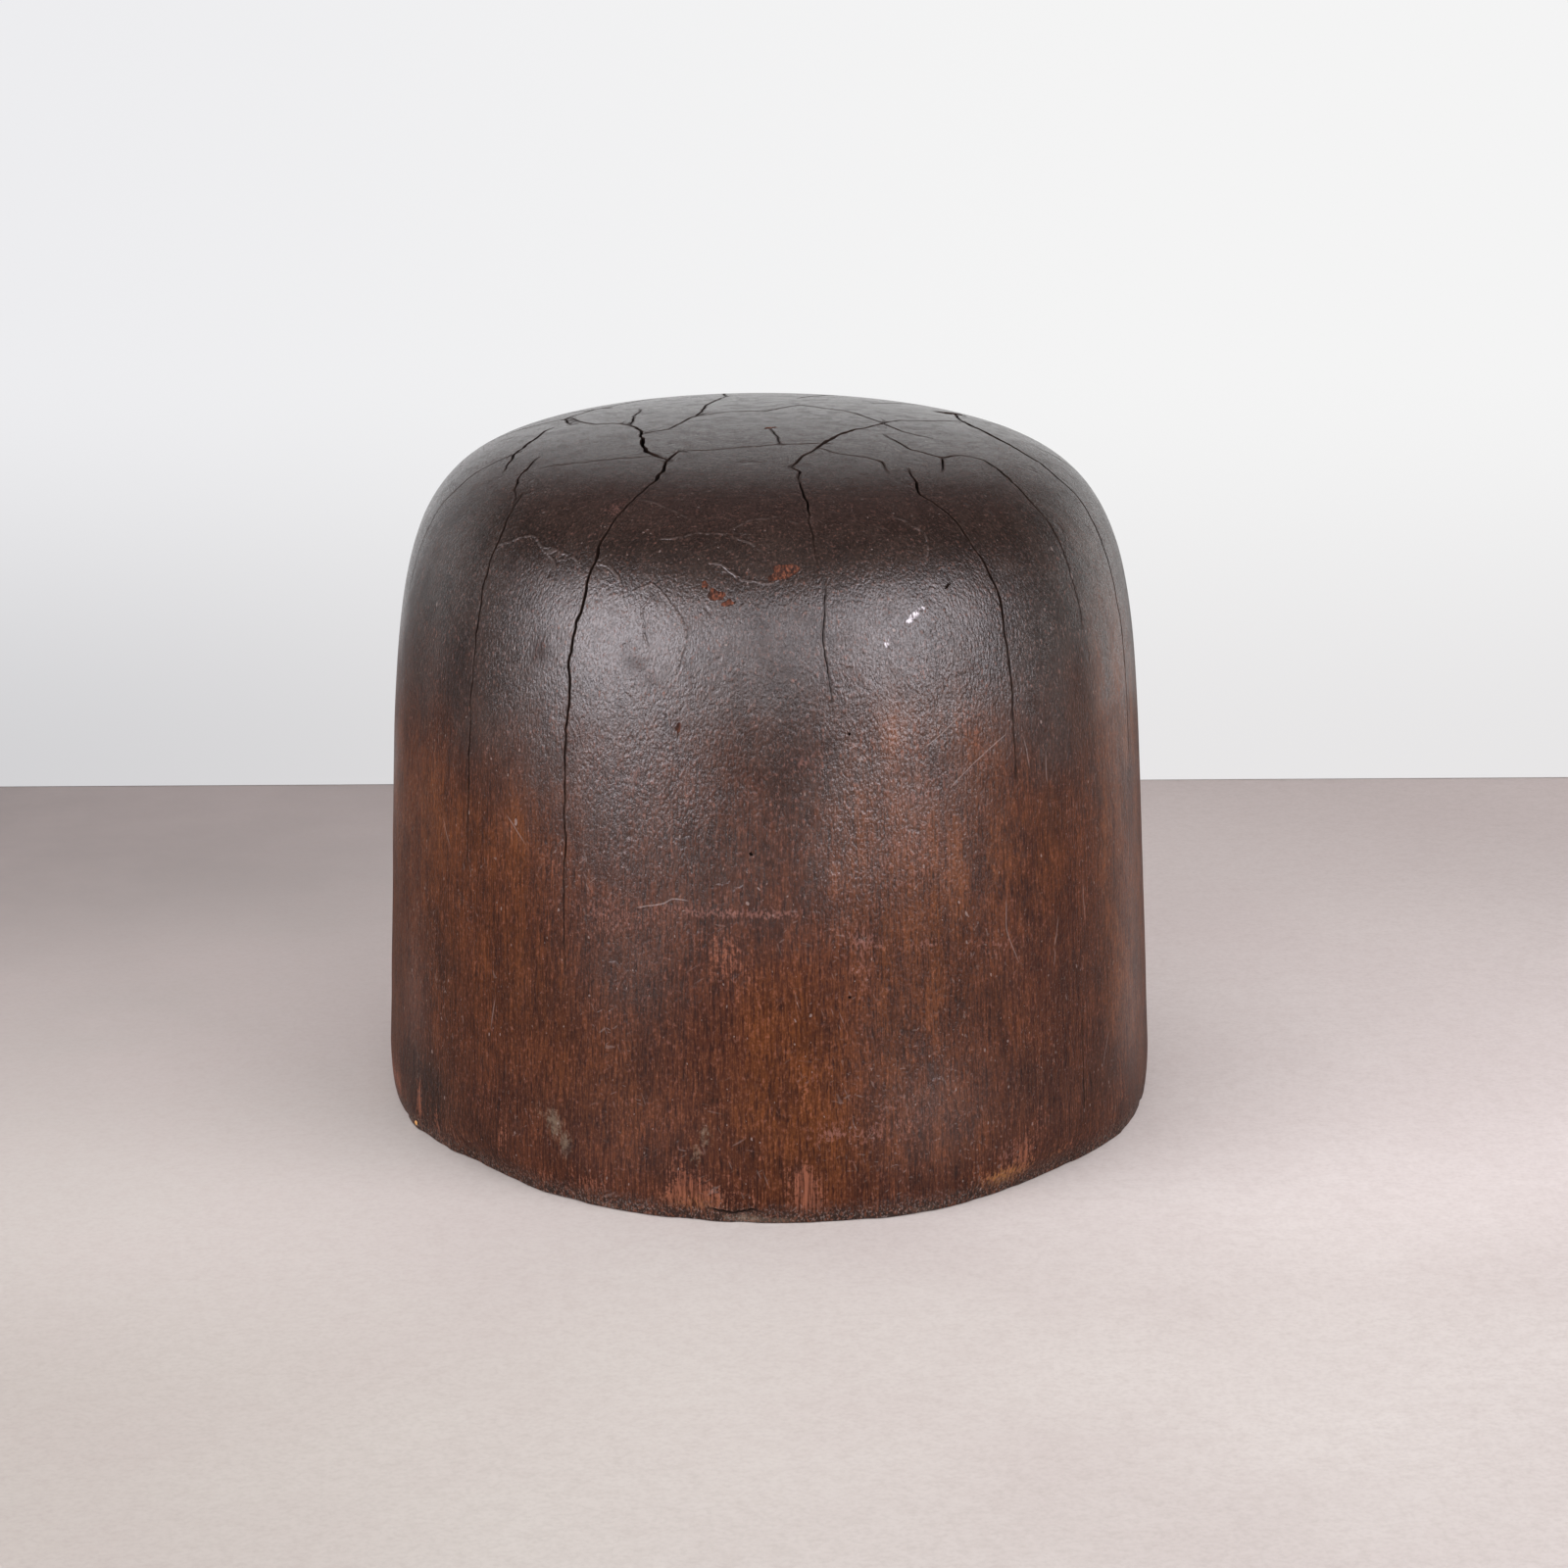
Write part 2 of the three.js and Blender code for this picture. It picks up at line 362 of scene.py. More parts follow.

# %% [markdown]
# ## The wall
# The flat top of the block mirrors the wall at a grazing angle, which turns it grey, and the shoulder
# mirrors the dark space above. The wall is a painted glow for the camera and for mirrored rays, greyer at
# the lower left and paler higher up, so its paleness puts no more light on the block. Above 25 cm and at
# both ends it is painted dark for mirrored rays, where the camera still sees it pale.

# %% Wall
WALL_DISTANCE = 0.239
STAGE_HALF_SIZE = 2.2
FLOOR_HEIGHT = -0.0002


def wall_finish():
    """A white wall that glows for the camera and for mirrored rays. The glow is painted light: greyer at the
    lower left, paler higher up, and painted dark for mirrored rays at both ends and high up. Where it glows
    for a ray, its own shader is left out.
    """
    material, shader, place = new_material("white_wall")
    parts = parts_of(place)
    path = node(place.tree, "ShaderNodeLightPath", None)
    across, up = remap(parts["X"], -0.25, 0.15), remap(parts["Z"], 0.0, 0.12)
    # painted shade in the glow: greyer at the lower left, paler higher up
    low = blended(across, (0.635, 0.63, 0.645), (0.80, 0.79, 0.795))
    high = blended(across, (0.84, 0.84, 0.86), (0.905, 0.905, 0.905))
    # painted dark for mirrored rays, at both ends and high up
    ends = remap(parts["X"], -0.5, -0.22, 0.85, 0) + remap(parts["X"], 0.35, 0.6, 0, 0.5)
    painted_dark_mirror = most(remap(parts["Z"], 0.180, 0.250), ends) * (1 - path["Is Camera Ray"])
    # the colour of the painted glow, with its painted shade and painted dark
    paint = blended(painted_dark_mirror, blended(up, low, high), (0.05, 0.05, 0.05))
    glow = node(place.tree, "ShaderNodeEmission", in_Color=paint)
    dress(shader, Base_Color=(0.8, 0.8, 0.8), Roughness=0.9)
    direct = path["Is Camera Ray"] + path["Is Glossy Ray"]
    seen = maths("ADD", direct, path["Is Transmission Ray"], clamp=True)
    own = Value(shader.outputs[0])
    one_sided(node(place.tree, "ShaderNodeMixShader", in_0=seen, in_1=own, in_2=glow))
    return material


def add_stage():
    s, z = STAGE_HALF_SIZE, FLOOR_HEIGHT
    floor = [(-s, -s, z), (s, -s, z), (s, s, z), (-s, s, z)]
    wall = [as_seen(x, WALL_DISTANCE, height) for x, height in ((-s, 0), (s, 0), (s, s), (-s, s))]
    for name, corners, material in (("floor", floor, FLOOR), ("wall", wall, wall_finish())):
        mesh = bpy.data.meshes.new(name)
        mesh.from_pydata([tuple(corner) for corner in corners], [], [(0, 1, 2, 3)])
        mesh.materials.append(material)
        link(name, mesh)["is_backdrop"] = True


add_stage()
print("floor and wall are up")

# %% [markdown]
# ## The lamps
# Each lamp is a large rectangle that faces the block. Where a lamp has to stand follows from its
# glow: the glow lies where the surface mirrors the lamp to the camera. The two wide glows on the upper
# front come from two lamps about 50 degrees to the sides and 18 degrees up, the left one stronger. A
# weak one in front joins the glows, and a narrow strip high at the right lifts the edge of the right
# one to the shoulder. A weak world light fills the shadows.

# %% Lamps
LAMPS = (
    # name, bearing from the camera's side, height angle, distance, width, height, power in watts
    ("soft_left", -55, 18, 1.0, 0.84, 0.66, 10.5),
    ("soft_right", 50, 18, 1.0, 0.74, 0.64, 8.6),
    ("soft_front", -3, 25, 1.15, 1.00, 0.74, 5.1),
    ("soft_right_top", 38, 41, 1.0, 0.90, 0.15, 1.5),
)
LAMP_COLOUR = (1.0, 0.935, 0.995)
WORLD_COLOUR = (0.93, 0.96, 1.0)
WORLD_LIGHT = 0.16


def add_lamp(name, bearing, rise, distance, width, height, power):
    data = bpy.data.lights.new(name, "AREA")
    data.shape = "RECTANGLE"
    data.size = width
    data.size_y = height
    data.energy = power
    data.color = LAMP_COLOUR
    lamp = link(name, data)
    b, r = math.radians(bearing), math.radians(rise)
    way = as_seen(math.sin(b) * math.cos(r), -math.cos(b) * math.cos(r), math.sin(r))
    lamp.location = AIM + way * distance
    lamp.rotation_euler = (-way).to_track_quat("-Z", "Y").to_euler()


def add_world():
    world = bpy.data.worlds.new("studio")
    bpy.context.scene.world = world
    world.use_nodes = True
    background = world.node_tree.nodes["Background"]
    feed(background.inputs["Color"], WORLD_COLOUR)
    feed(background.inputs["Strength"], WORLD_LIGHT)


for lamp in LAMPS:
    add_lamp(*lamp)
add_world()
bpy.context.scene.view_settings.view_transform = "Standard"
print(len(LAMPS), "lamps")

# %% [markdown]
# ## The shape of the block
# A crown block is an oval with almost upright sides, a tight shoulder and a low dome. One curve
# gives all three: a superellipse of power 8, whose sides lean in by 5.8 mm and whose top rises by 8
# mm. It is the same formula as in the CAD model, so the skin made here fits the solid. A place on it
# has two numbers: its bearing, 0 at the front and growing to the right, and its distance from the
# middle of the top, measured down over the surface. Both are easy to read off a block with a tape.

# %% The section and its places
HEIGHT = CAD_BOX[1].z
SIDE_LINE = 82.9 * MM
STRETCH = 195.8 / 165.8
LEAN = 5.8 * MM
CROWN_RISE = 8 * MM
SHOULDER_POWER = 8
FOOT_INSET = 0.8 * MM
FOOT_INSET_HEIGHT = 9.6 * MM


def section(direction):
    """Radius and height of the section. Direction runs from 0, straight out, to a right angle, straight
    up. A superellipse of power 8 gives how far out and how high as shares, the side leans in with
    height, the top sinks towards its rim, and the foot draws in by the square of its nearness."""
    across, up = np.cos(direction), np.sin(direction)
    reach = (across**SHOULDER_POWER + up**SHOULDER_POWER) ** (-1 / SHOULDER_POWER)
    out, rise = across * reach, up * reach
    height = rise * (HEIGHT - CROWN_RISE * out**2)
    tuck = np.clip(1 - height / FOOT_INSET_HEIGHT, 0, 1)
    radius = out * (SIDE_LINE - LEAN * rise) - FOOT_INSET * tuck**2
    return radius, height


STEPS_DOWN = 6000
BELOW_FOOT = 10 * MM
RADII, HEIGHTS = section(np.linspace(math.pi / 2, 0, STEPS_DOWN))
DISTANCES = np.concatenate([[0], np.cumsum(np.hypot(np.diff(RADII), np.diff(HEIGHTS)))])
FOOT_DISTANCE = DISTANCES[-1]
RADII = np.append(RADII, RADII[-1])
HEIGHTS = np.append(HEIGHTS, -BELOW_FOOT)
DISTANCES = np.append(DISTANCES, FOOT_DISTANCE + BELOW_FOOT)


def swung(angle, radius, height, stretch=1.0):
    """Points at a radius and a height, swung round the upright axis from the front by an angle in
    radians, and stretched along Y."""
    x, y = radius * np.sin(angle), -stretch * radius * np.cos(angle)
    return np.stack(np.broadcast_arrays(x, y, height), -1)


def on_block(bearing, distance):
    """The point at a bearing in degrees and a distance in metres: the section's radius and height at
    that distance, swung round the upright axis and stretched along Y. Past the foot the table goes
    straight down, for cuts that come up from below."""
    b, distance = np.broadcast_arrays(np.radians(bearing), distance)
    radius = np.interp(distance, DISTANCES, RADII)
    height = np.interp(distance, DISTANCES, HEIGHTS)
    return swung(b, radius, height, STRETCH)


def outward(bearing, distance):
    """The unit normal there: the cross product of a small step down and a small step round."""
    step = 0.2 * MM
    down = on_block(bearing, distance + step) - on_block(bearing, distance - step)
    ring = on_block(bearing + 0.1, distance) - on_block(bearing - 0.1, distance)
    normal = np.cross(down, ring)
    return normal / np.linalg.norm(normal, axis=-1, keepdims=True)


def bearing_of(points):
    """The inverse of on_block for the bearing: the angle round the upright axis, with the stretch
    along Y taken out."""
    return np.degrees(np.arctan2(points[:, 0], -points[:, 1] / STRETCH))


print("from the middle of the top to the foot:", round(FOOT_DISTANCE / MM, 1), "mm")

# %% [markdown]
# ## Unevenness that repeats
# A block is turned, rasped and sanded by hand, so its surface swells and dips by a few tenths of a
# millimetre. A smooth noise gives that: a lattice of random numbers, blended between neighbours. The
# lattice is seeded, so the block comes out the same each time.


# %% Smooth noise
LATTICE = 32


def soft_noise(points, size, seed):
    """Values from -1 to 1 whose lumps are about size across. Each point takes the random numbers at
    the eight corners of its lattice cell, weighted by an S curve of how near each corner is."""
    lattice = np.random.default_rng(seed).uniform(-1, 1, (LATTICE,) * 3)
    q = points / size + 100.0
    cell = np.floor(q).astype(int)
    t = q - cell
    t = t * t * (3 - 2 * t)
    total = np.zeros(points.shape[:-1])
    for corner in np.ndindex(2, 2, 2):
        weight = np.prod(np.where(corner, t, 1 - t), axis=-1)
        i = (cell + corner) % LATTICE
        total += weight * lattice[i[..., 0], i[..., 1], i[..., 2]]
    return total


def hill(value, centre, spread):
    """A smooth hill of height 1 at centre: e to the power of minus the square of how many spreads
    the value is away."""
    return np.exp(-(((value - centre) / spread) ** 2))


def turned_by(bearing, centre):
    """How many degrees a bearing is from another, from -180 to 180."""
    return (bearing - centre + 180) % 360 - 180


print("noise sample:", np.round(soft_noise(np.array([[0.01, 0.02, 0.03]]), 0.01, 1), 3))

# %% [markdown]
# ## The skin
# The skin is one closed surface: a grid of rings from the middle of the top down over the shoulder
# and the side, round the foot, in across the base, and up into the socket that holds the iron. The
# rings are closer together at the foot, where a century of setting down has rounded and scalloped
# the edge. Below the foot the rings turn from oval to round, because the socket is bored round.

# %% Rings of the skin
COLUMNS = 400
RING_STEP = 1.35 * MM
FOOT_RING_STEP = 0.55 * MM
FOOT_ZONE = 9 * MM
BASE_RINGS = 16
HAND_SWELL = 0.16 * MM
HAND_RIPPLE = 0.07 * MM
NIBBLE = 0.6 * MM
FOOT_WEAR_HEIGHT = 4.5 * MM
BASE_PITS = 0.12 * MM

# The scallops of the foot in the photograph: bearing, spread in degrees, and how far out in mm.
FOOT_SCALLOPS = (
    (-71, 4, 0.6), (-52, 9, -1.8), (12, 7, 0.7), (37, 11, -1.8), (58, 4, 0.6),
    (88, 6, -0.7), (117, 12, -1.1), (149, 8, -0.6), (171, 7, -1.3), (-158, 10, -0.5),
    (-131, 7, -1.2), (-103, 9, -0.6),
)

# The hollow in the base, as radius and height in mm: recess, shelf, hub's bore, spindle's bore.
HOLLOW = ((38.7, 0), (38.3, 0.4), (38.3, 6.3), (22.3, 6.3), (20.3, 8.3), (20.3, 46.3),
          (13.3, 46.3), (13.3, 56), (6.5, 58))
HOLLOW_TOP = 60 * MM
HOLLOW_STEP = 3.5 * MM


def outer_rings():
    """Distances of the rings on the outside, closer together near the foot."""
    body = np.arange(2.2 * MM, FOOT_DISTANCE - FOOT_ZONE, RING_STEP)
    foot = np.arange(FOOT_DISTANCE - FOOT_ZONE, FOOT_DISTANCE, FOOT_RING_STEP)
    return np.concatenate([body, foot])


def worn(points, bearing):
    """Moves points outwards by the swell of the whole surface and, near the foot, by the scallops
    and by nibbles, which are the low parts of a noise. Near means less than a few millimetres up."""
    scallop = MM * sum(
        depth * hill(turned_by(bearing, at), 0, spread) for at, spread, depth in FOOT_SCALLOPS
    )
    nibble = NIBBLE * np.minimum(0, soft_noise(points * (1, 1, 0.3), 4 * MM, 5))
    near_foot = hill(points[..., 2], 0, FOOT_WEAR_HEIGHT)
    swell = HAND_SWELL * soft_noise(points, 38 * MM, 2) + HAND_RIPPLE * soft_noise(points, 9 * MM, 3)
    flat = points * (1, 1, 0)
    away = flat / np.maximum(np.linalg.norm(flat, axis=-1, keepdims=True), 1e-6)
    return points + away * (near_foot * (scallop + nibble) + swell)[..., None]


def skin_rings():
    """All rings as one array of rings by columns by 3, from the top to the end of the socket. The
    base runs from the foot's edge to the recess, with pits that fade out at both."""
    bearing = np.linspace(-180, 180, COLUMNS, endpoint=False)
    distance = outer_rings()
    outside = on_block(bearing[None, :], distance[:, None])
    outside = worn(outside, np.broadcast_to(bearing, outside.shape[:2]))
    circle = swung(np.radians(bearing), 1.0, 0.0)
    edge = worn(on_block(bearing, FOOT_DISTANCE), bearing)
    rim = circle * HOLLOW[0][0] * MM
    share = np.linspace(0, 1, BASE_RINGS)[:, None, None] ** 0.8
    base = edge * (1 - share) + rim * share
    pitted = BASE_PITS * (1 + soft_noise(base * (1, 1, 0), 3 * MM, 8))
    base[..., 2] += pitted * (share * (1 - share) * 4)[..., 0]
    hollow = []
    for (r0, z0), (r1, z1) in zip(HOLLOW, HOLLOW[1:]):
        steps = max(1, round(math.hypot(r1 - r0, z1 - z0) * MM / HOLLOW_STEP))
        for k in range(1, steps + 1):
            r, z = r0 + (r1 - r0) * k / steps, z0 + (z1 - z0) * k / steps
            hollow.append(circle * r * MM + (0, 0, z * MM))
    rings = np.concatenate([outside, base, np.array(hollow)])
    return np.clip(rings, np.array(CAD_BOX[0]), np.array(CAD_BOX[1]))


rings = skin_rings()
print(rings.shape[0], "rings of", rings.shape[1], "points")

# %% [markdown]
# ## From rings to meshes
# Everything that is built here is a stack of rings with a pole at each end: the skin, the wedges of
# the checks, the chips and the splinter. So one function closes them all, and another measures their
# volume, which shows at once if a shape is inside out.


# %% Closed shapes
def closed_shape(rings, first_pole, last_pole):
    """Points and faces of rings joined by quads, with a fan to a single point at each end."""
    count, columns = rings.shape[:2]
    points = np.concatenate([rings.reshape(-1, 3), [first_pole, last_pole]])
    i = np.arange(count - 1)[:, None] * columns
    j = np.arange(columns)[None, :]
    k = (j + 1) % columns
    quads = np.stack([i + j, i + columns + j, i + columns + k, i + k], -1).reshape(-1, 4)
    j, k = j[0], k[0]
    last = (count - 1) * columns
    first_fan = np.stack([np.full(columns, count * columns), j, k], -1)
    last_fan = np.stack([np.full(columns, count * columns + 1), last + k, last + j], -1)
    return points, quads.tolist() + first_fan.tolist() + last_fan.tolist()


def volume_of(shape):
    """The signed volume: each face is a fan of triangles, and each of those spans a tetrahedron with
    the origin. It is above zero if the faces point out."""
    points, faces = shape
    fans = [(face[0], face[k], face[k + 1]) for face in faces for k in range(1, len(face) - 1)]
    a, b, c = points[np.array(fans)].transpose(1, 0, 2)
    return (a * np.cross(b, c)).sum() / 6


def build_mesh(name, shapes):
    """One mesh of several shapes."""
    starts = np.cumsum([0] + [len(points) for points, _ in shapes])
    faces = [
        [start + index for index in face]
        for start, (_, shape_faces) in zip(starts, shapes)
        for face in shape_faces
    ]
    mesh = bpy.data.meshes.new(name)
    mesh.from_pydata(np.concatenate([points for points, _ in shapes]).tolist(), [], faces)
    mesh.validate()
    return mesh


skin = closed_shape(rings, (0, 0, HEIGHT), (0, 0, HOLLOW_TOP))
block = link("block_wood", build_mesh("block_wood", [skin]))
outside, top_pole = len(outer_rings()) * COLUMNS, len(skin[0]) - 2
is_base = [int(outside <= face[0] != top_pole) for face in skin[1]]
block.data.polygons.foreach_set("material_index", is_base)
print("skin:", len(skin[1]), "faces,", round(volume_of(skin) * 1e6), "cubic cm")

# %% [markdown]
# ## Checks
# As a log dries it shrinks more round than across, and it splits from the pith out. On the side the
# splits run straight down with the grain, and on the end grain of the top they wander from ring to
# ring and meet. A painted line wouldn't catch the light as they do, so each check is cut: a wedge
# is swept along its route and taken out of the wood. A route is a few places, as (bearing in degrees,
# distance in mm, width in mm), and a noise makes the shaky run between them. On the front and the top
# they are points picked by eye on the photograph. A separate program with a fitted camera turned them
# into bearings and distances, which were then thinned and mostly rounded. The rest are made up.

# %% Routes of the checks
# Each has its route, its depth in mm, and how broken up it is.
CHECKS = (
    # the long check of the left front, and the wide one that meets it on the top
    (((-41, 31, 0.7), (-39, 37, 0.85), (-34, 47, 0.9), (-34, 55, 0.65), (-36, 75, 0.7), (-37, 95, 0.55),
      (-37, 120, 0.32), (-37, 158, 0.12)), 8, 0.2),
    (((-39, 37, 0.8), (-50, 35, 1.3), (-60, 31, 1.2), (-70, 28, 0.8), (-84, 27, 0.75), (-96, 28, 0.6),
      (-103, 31, 0.5), (-104, 36, 0.4)), 6, 0.2),
    (((-104, 36, 0.5), (-111, 41, 0.5), (-119, 45, 0.3)), 3, 0.4),
    (((-108, 42, 0.4), (-118, 46, 0.5), (-130, 45, 0.5), (-142, 44, 0.5), (-153, 46, 0.5), (-163, 51, 0.5)),
      3, 0.3),
    (((-98, 28, 0.45), (-115, 29, 0.4), (-131, 32, 0.3)), 2, 0.3),
    # the thin dotted one further left, and the two short ones above it
    (((-60, 62, 0.5), (-57, 71, 0.62), (-56, 90, 0.6), (-56, 115, 0.45), (-56, 138, 0.25)), 4, 0.4),
    (((-104, 46, 0.4), (-93, 49, 0.8), (-84, 53, 0.95), (-75, 58, 0.4)), 4, 0.3),
    (((-74, 51, 0.7), (-69, 55, 1.1), (-68, 57, 0.4), (-64, 61, 0.5), (-60, 64, 0.3)), 3, 0.6),
    # the one in the middle, with its bend on the top
    (((99, 44, 0.4), (96, 36, 0.4), (93, 30, 0.45), (84, 25, 0.6), (66, 21, 0.95), (43, 20, 1.15),
      (24, 24, 1.0), (12, 29, 0.85), (6, 32, 0.95), (1, 38, 0.85)), 5, 0.35),
    (((1, 38, 0.75), (3, 41, 0.6), (1, 47, 0.6), (1, 62, 0.32), (1, 73, 0.2)), 3, 0.7),
    (((2, 77, 0.15), (1, 86, 0.22), (2, 99, 0.12)), 2, 0.5),
    # the right front
    (((32, 46, 0.5), (29, 51, 0.65), (26, 56, 0.6), (28, 64, 0.65), (30, 74, 0.75), (31, 84, 0.7),
      (31, 95, 0.45), (31, 106, 0.35), (31, 118, 0.2)), 5, 0.4),
    (((58, 28, 0.4), (48, 36, 0.5), (48, 44, 0.6), (56, 46, 0.65), (57, 50, 0.8), (53, 57, 0.8),
      (50, 64, 0.7), (49, 75, 0.5), (49, 92, 0.3)), 4, 0.4),
    (((48, 44, 0.4), (45, 46, 0.5), (40, 49, 0.3)), 2, 0.3),
    # the wide one at the right, from the knot hole in the top
    (((112, 48, 1.4), (103, 45, 1.1), (94, 45, 1.1), (80, 50, 1.3), (72, 57, 1.2), (68, 63, 0.9),
      (67, 70, 0.8), (65, 80, 0.8), (64, 92, 0.6), (64, 124, 0.35)), 6, 0.2),
    # hairlines of the top
    (((-41, 31, 0.4), (-31, 28, 0.45), (-20, 25, 0.4), (-7, 23, 0.4), (8, 22, 0.4), (24, 24, 0.4)),
      1.6, 0.4),
    (((-76, 27, 0.4), (-78, 21, 0.4), (-97, 17, 0.45), (-118, 15, 0.45), (-141, 18, 0.4), (-156, 23, 0.4),
      (-167, 29, 0.4), (-174, 35, 0.3)), 1.6, 0.3),
    (((-118, 15, 0.4), (-147, 13, 0.4), (-168, 11, 0.4), (-188, 10, 0.4), (-203, 15, 0.4), (-210, 21, 0.4),
      (-227, 20, 0.4), (-243, 22, 0.4), (-275, 25, 0.4)), 1.4, 0.3),
    (((2, 9, 0.3), (2, 16, 0.35), (1, 22, 0.3)), 1.0, 0.3),
    (((-66, 52, 0.25), (-60, 46, 0.35), (-53, 40, 0.35), (-46, 36, 0.3)), 1.0, 0.4),
    (((18, 27, 0.35), (21, 31, 0.4), (29, 36, 0.4), (30, 39, 0.4), (26, 45, 0.35)), 1.6, 0.3),
    (((86, 25, 0.35), (78, 27, 0.4), (70, 30, 0.35), (67, 35, 0.3)), 1.2, 0.4),
    # the sides and the back
    (((84, 60, 0.5), (85, 78, 0.5), (86, 104, 0.3)), 4, 0.4),
    (((104, 52, 0.8), (107, 66, 0.7), (107, 92, 0.6), (108, 131, 0.3)), 6, 0.2),
    (((131, 38, 0.5), (128, 52, 0.5), (131, 70, 0.4), (131, 88, 0.3)), 4, 0.5),
    (((158, 33, 0.7), (152, 47, 0.9), (151, 64, 0.8), (153, 100, 0.5), (152, 141, 0.3)), 7, 0.15),
    (((-174, 35, 0.5), (-176, 49, 0.6), (-178, 68, 0.5), (-177, 96, 0.3)), 4, 0.4),
    (((-163, 51, 0.6), (-158, 61, 0.7), (-156, 82, 0.6), (-157, 112, 0.4), (-157, 126, 0.3)), 5, 0.25),
    (((-131, 46, 0.5), (-132, 60, 0.5), (-134, 84, 0.4), (-133, 99, 0.3)), 4, 0.5),
    (((-119, 45, 0.6), (-111, 58, 0.7), (-109, 80, 0.6), (-110, 118, 0.3)), 5, 0.3),
    (((-84, 53, 0.5), (-83, 68, 0.4), (-84, 90, 0.3)), 3, 0.6),
    # short splits that come up from the foot
    (((44, 172, 0.3), (44, 192, 0.3)), 1.5, 0.4),
    (((76, 186, 0.5), (76, 207, 0.6)), 5, 0.2),
    (((-139, 168, 0.5), (-139, 207, 0.7)), 6, 0.2),
    (((118, 184, 0.4), (118, 207, 0.6)), 5, 0.2),
    (((-15, 200, 0.5), (-12, 200.6, 0.5), (-9, 200, 0.5)), 2.5, 0.2),
)

print(len(CHECKS), "checks in the side and the top")

# %% [markdown]
# ## Wedges from routes
# Each route is laid on the rolled-out top, where straight pieces between the places come out as the
# eye sees them, and shaken a little, because a split follows the fibres.

# %% Fine routes
ROUTE_STEP = 0.95 * MM
STAND_OFF = 0.8 * MM
LINE_WIDTH = 0.3
SHAKES = ((0.30, 3.1), (0.40, 9), (0.24, 1.5))  # how far and over what length, in mm


def flat_map(bearing, distance):
    """The top rolled out flat: distance away from the middle, in the direction of the bearing."""
    return swung(np.radians(bearing), distance, 0.0)[..., :2]


def unit(vectors):
    return vectors / np.maximum(np.linalg.norm(vectors, axis=-1, keepdims=True), 1e-12)


def fine_route(places, seed, shake=1.0):
    """Bearings, distances and widths at even steps along a route, shaken sideways by a sum of smooth
    noises that fades to nothing at both ends, so that routes that meet still meet."""
    bearing, distance, width = np.array([(*place, LINE_WIDTH)[:3] for place in places], float).T
    flat = flat_map(bearing, distance * MM)
    length = np.concatenate([[0], np.cumsum(np.linalg.norm(np.diff(flat, axis=0), axis=1))])
    even = np.linspace(0, length[-1], max(5, int(length[-1] / ROUTE_STEP)))
    flat = np.stack([np.interp(even, length, flat[:, k]) for k in (0, 1)], -1)
    flat[1:-1] = (flat[:-2] + 2 * flat[1:-1] + flat[2:]) / 4
    spot = np.stack([even, 0 * even + seed, 0 * even], -1)
    swing = sum(
        size * MM * soft_noise(spot, wave * MM, seed + k) for k, (size, wave) in enumerate(SHAKES)
    )
    along = unit(np.gradient(flat, axis=0))
    aside = np.stack([-along[:, 1], along[:, 0]], -1)
    fade = np.sin(np.linspace(0, math.pi, len(even))) ** 0.3
    flat = flat + aside * (swing * fade * shake)[:, None]
    bearing, distance = np.degrees(np.arctan2(flat[:, 0], -flat[:, 1])), np.linalg.norm(flat, axis=1)
    return bearing, distance, np.interp(even, length, width)


print("a route in the flat, in mm:", flat_map(90, 20))

# %% [markdown]
# ## A wedge along a route
# Three rows of points make a wedge: two above the surface, as far apart as the mouth is wide, and one
# inside the wood. The mouth is measured at the surface, so the upper rows stand a little further apart.


# %% Sweep the wedges
def swept_wedge(centre, up, mouth, depth, broken, seed):
    """A closed wedge along the points in centre, cut to a depth against the directions in up. Its
    width and depth fade at the ends, and a noise narrows it on the way, more in a broken check."""
    aside = unit(np.cross(up, np.gradient(centre, axis=0)))
    share = np.linspace(0, 1, len(centre))
    taper = np.sqrt(np.clip(np.minimum(share * 9, (1 - share) * 5), 0.03, 1))
    lively = 0.7 * soft_noise(centre + seed * MM, 5 * MM, seed + 3)
    lively = lively + 0.6 * soft_noise(centre + seed * MM, 1.7 * MM, seed + 4)
    open_share = np.clip(0.85 + 0.3 * lively - broken * (0.3 - 0.9 * lively), 0.15, 1.3)
    inner = depth * MM * taper
    flare = (mouth * MM * np.sqrt(taper) * open_share * (1 + STAND_OFF / inner))[:, None] / 2
    lift = up * STAND_OFF
    rings = np.stack([centre + lift - aside * flare, centre + lift + aside * flare,
                      centre - up * inner[:, None]], 1)
    return closed_shape(rings, rings[0].mean(0), rings[-1].mean(0))


def check_wedge(n):
    """The wedge of one check in the list. Its place in the list seeds its noise."""
    places, depth, broken = CHECKS[n]
    bearing, distance, mouth = fine_route(places, 10 * n)
    centre, up = on_block(bearing, distance), outward(bearing, distance)
    return swept_wedge(centre, up, mouth, depth, broken, 10 * n)


def base_wedge(bearing, start, end, mouth, depth, seed):
    """A check in the end grain of the base, from one radius in mm to another."""
    radius = np.arange(start, end, 1.5) * MM
    spot = np.stack([radius, 0 * radius + seed, 0 * radius], -1)
    b = np.radians(bearing) + 0.02 * soft_noise(spot, 6 * MM, seed)
    centre = swung(b, radius, 0.0, STRETCH)
    down = np.tile((0.0, 0.0, -1.0), (len(radius), 1))
    return swept_wedge(centre, down, mouth, depth, 0.3, seed)


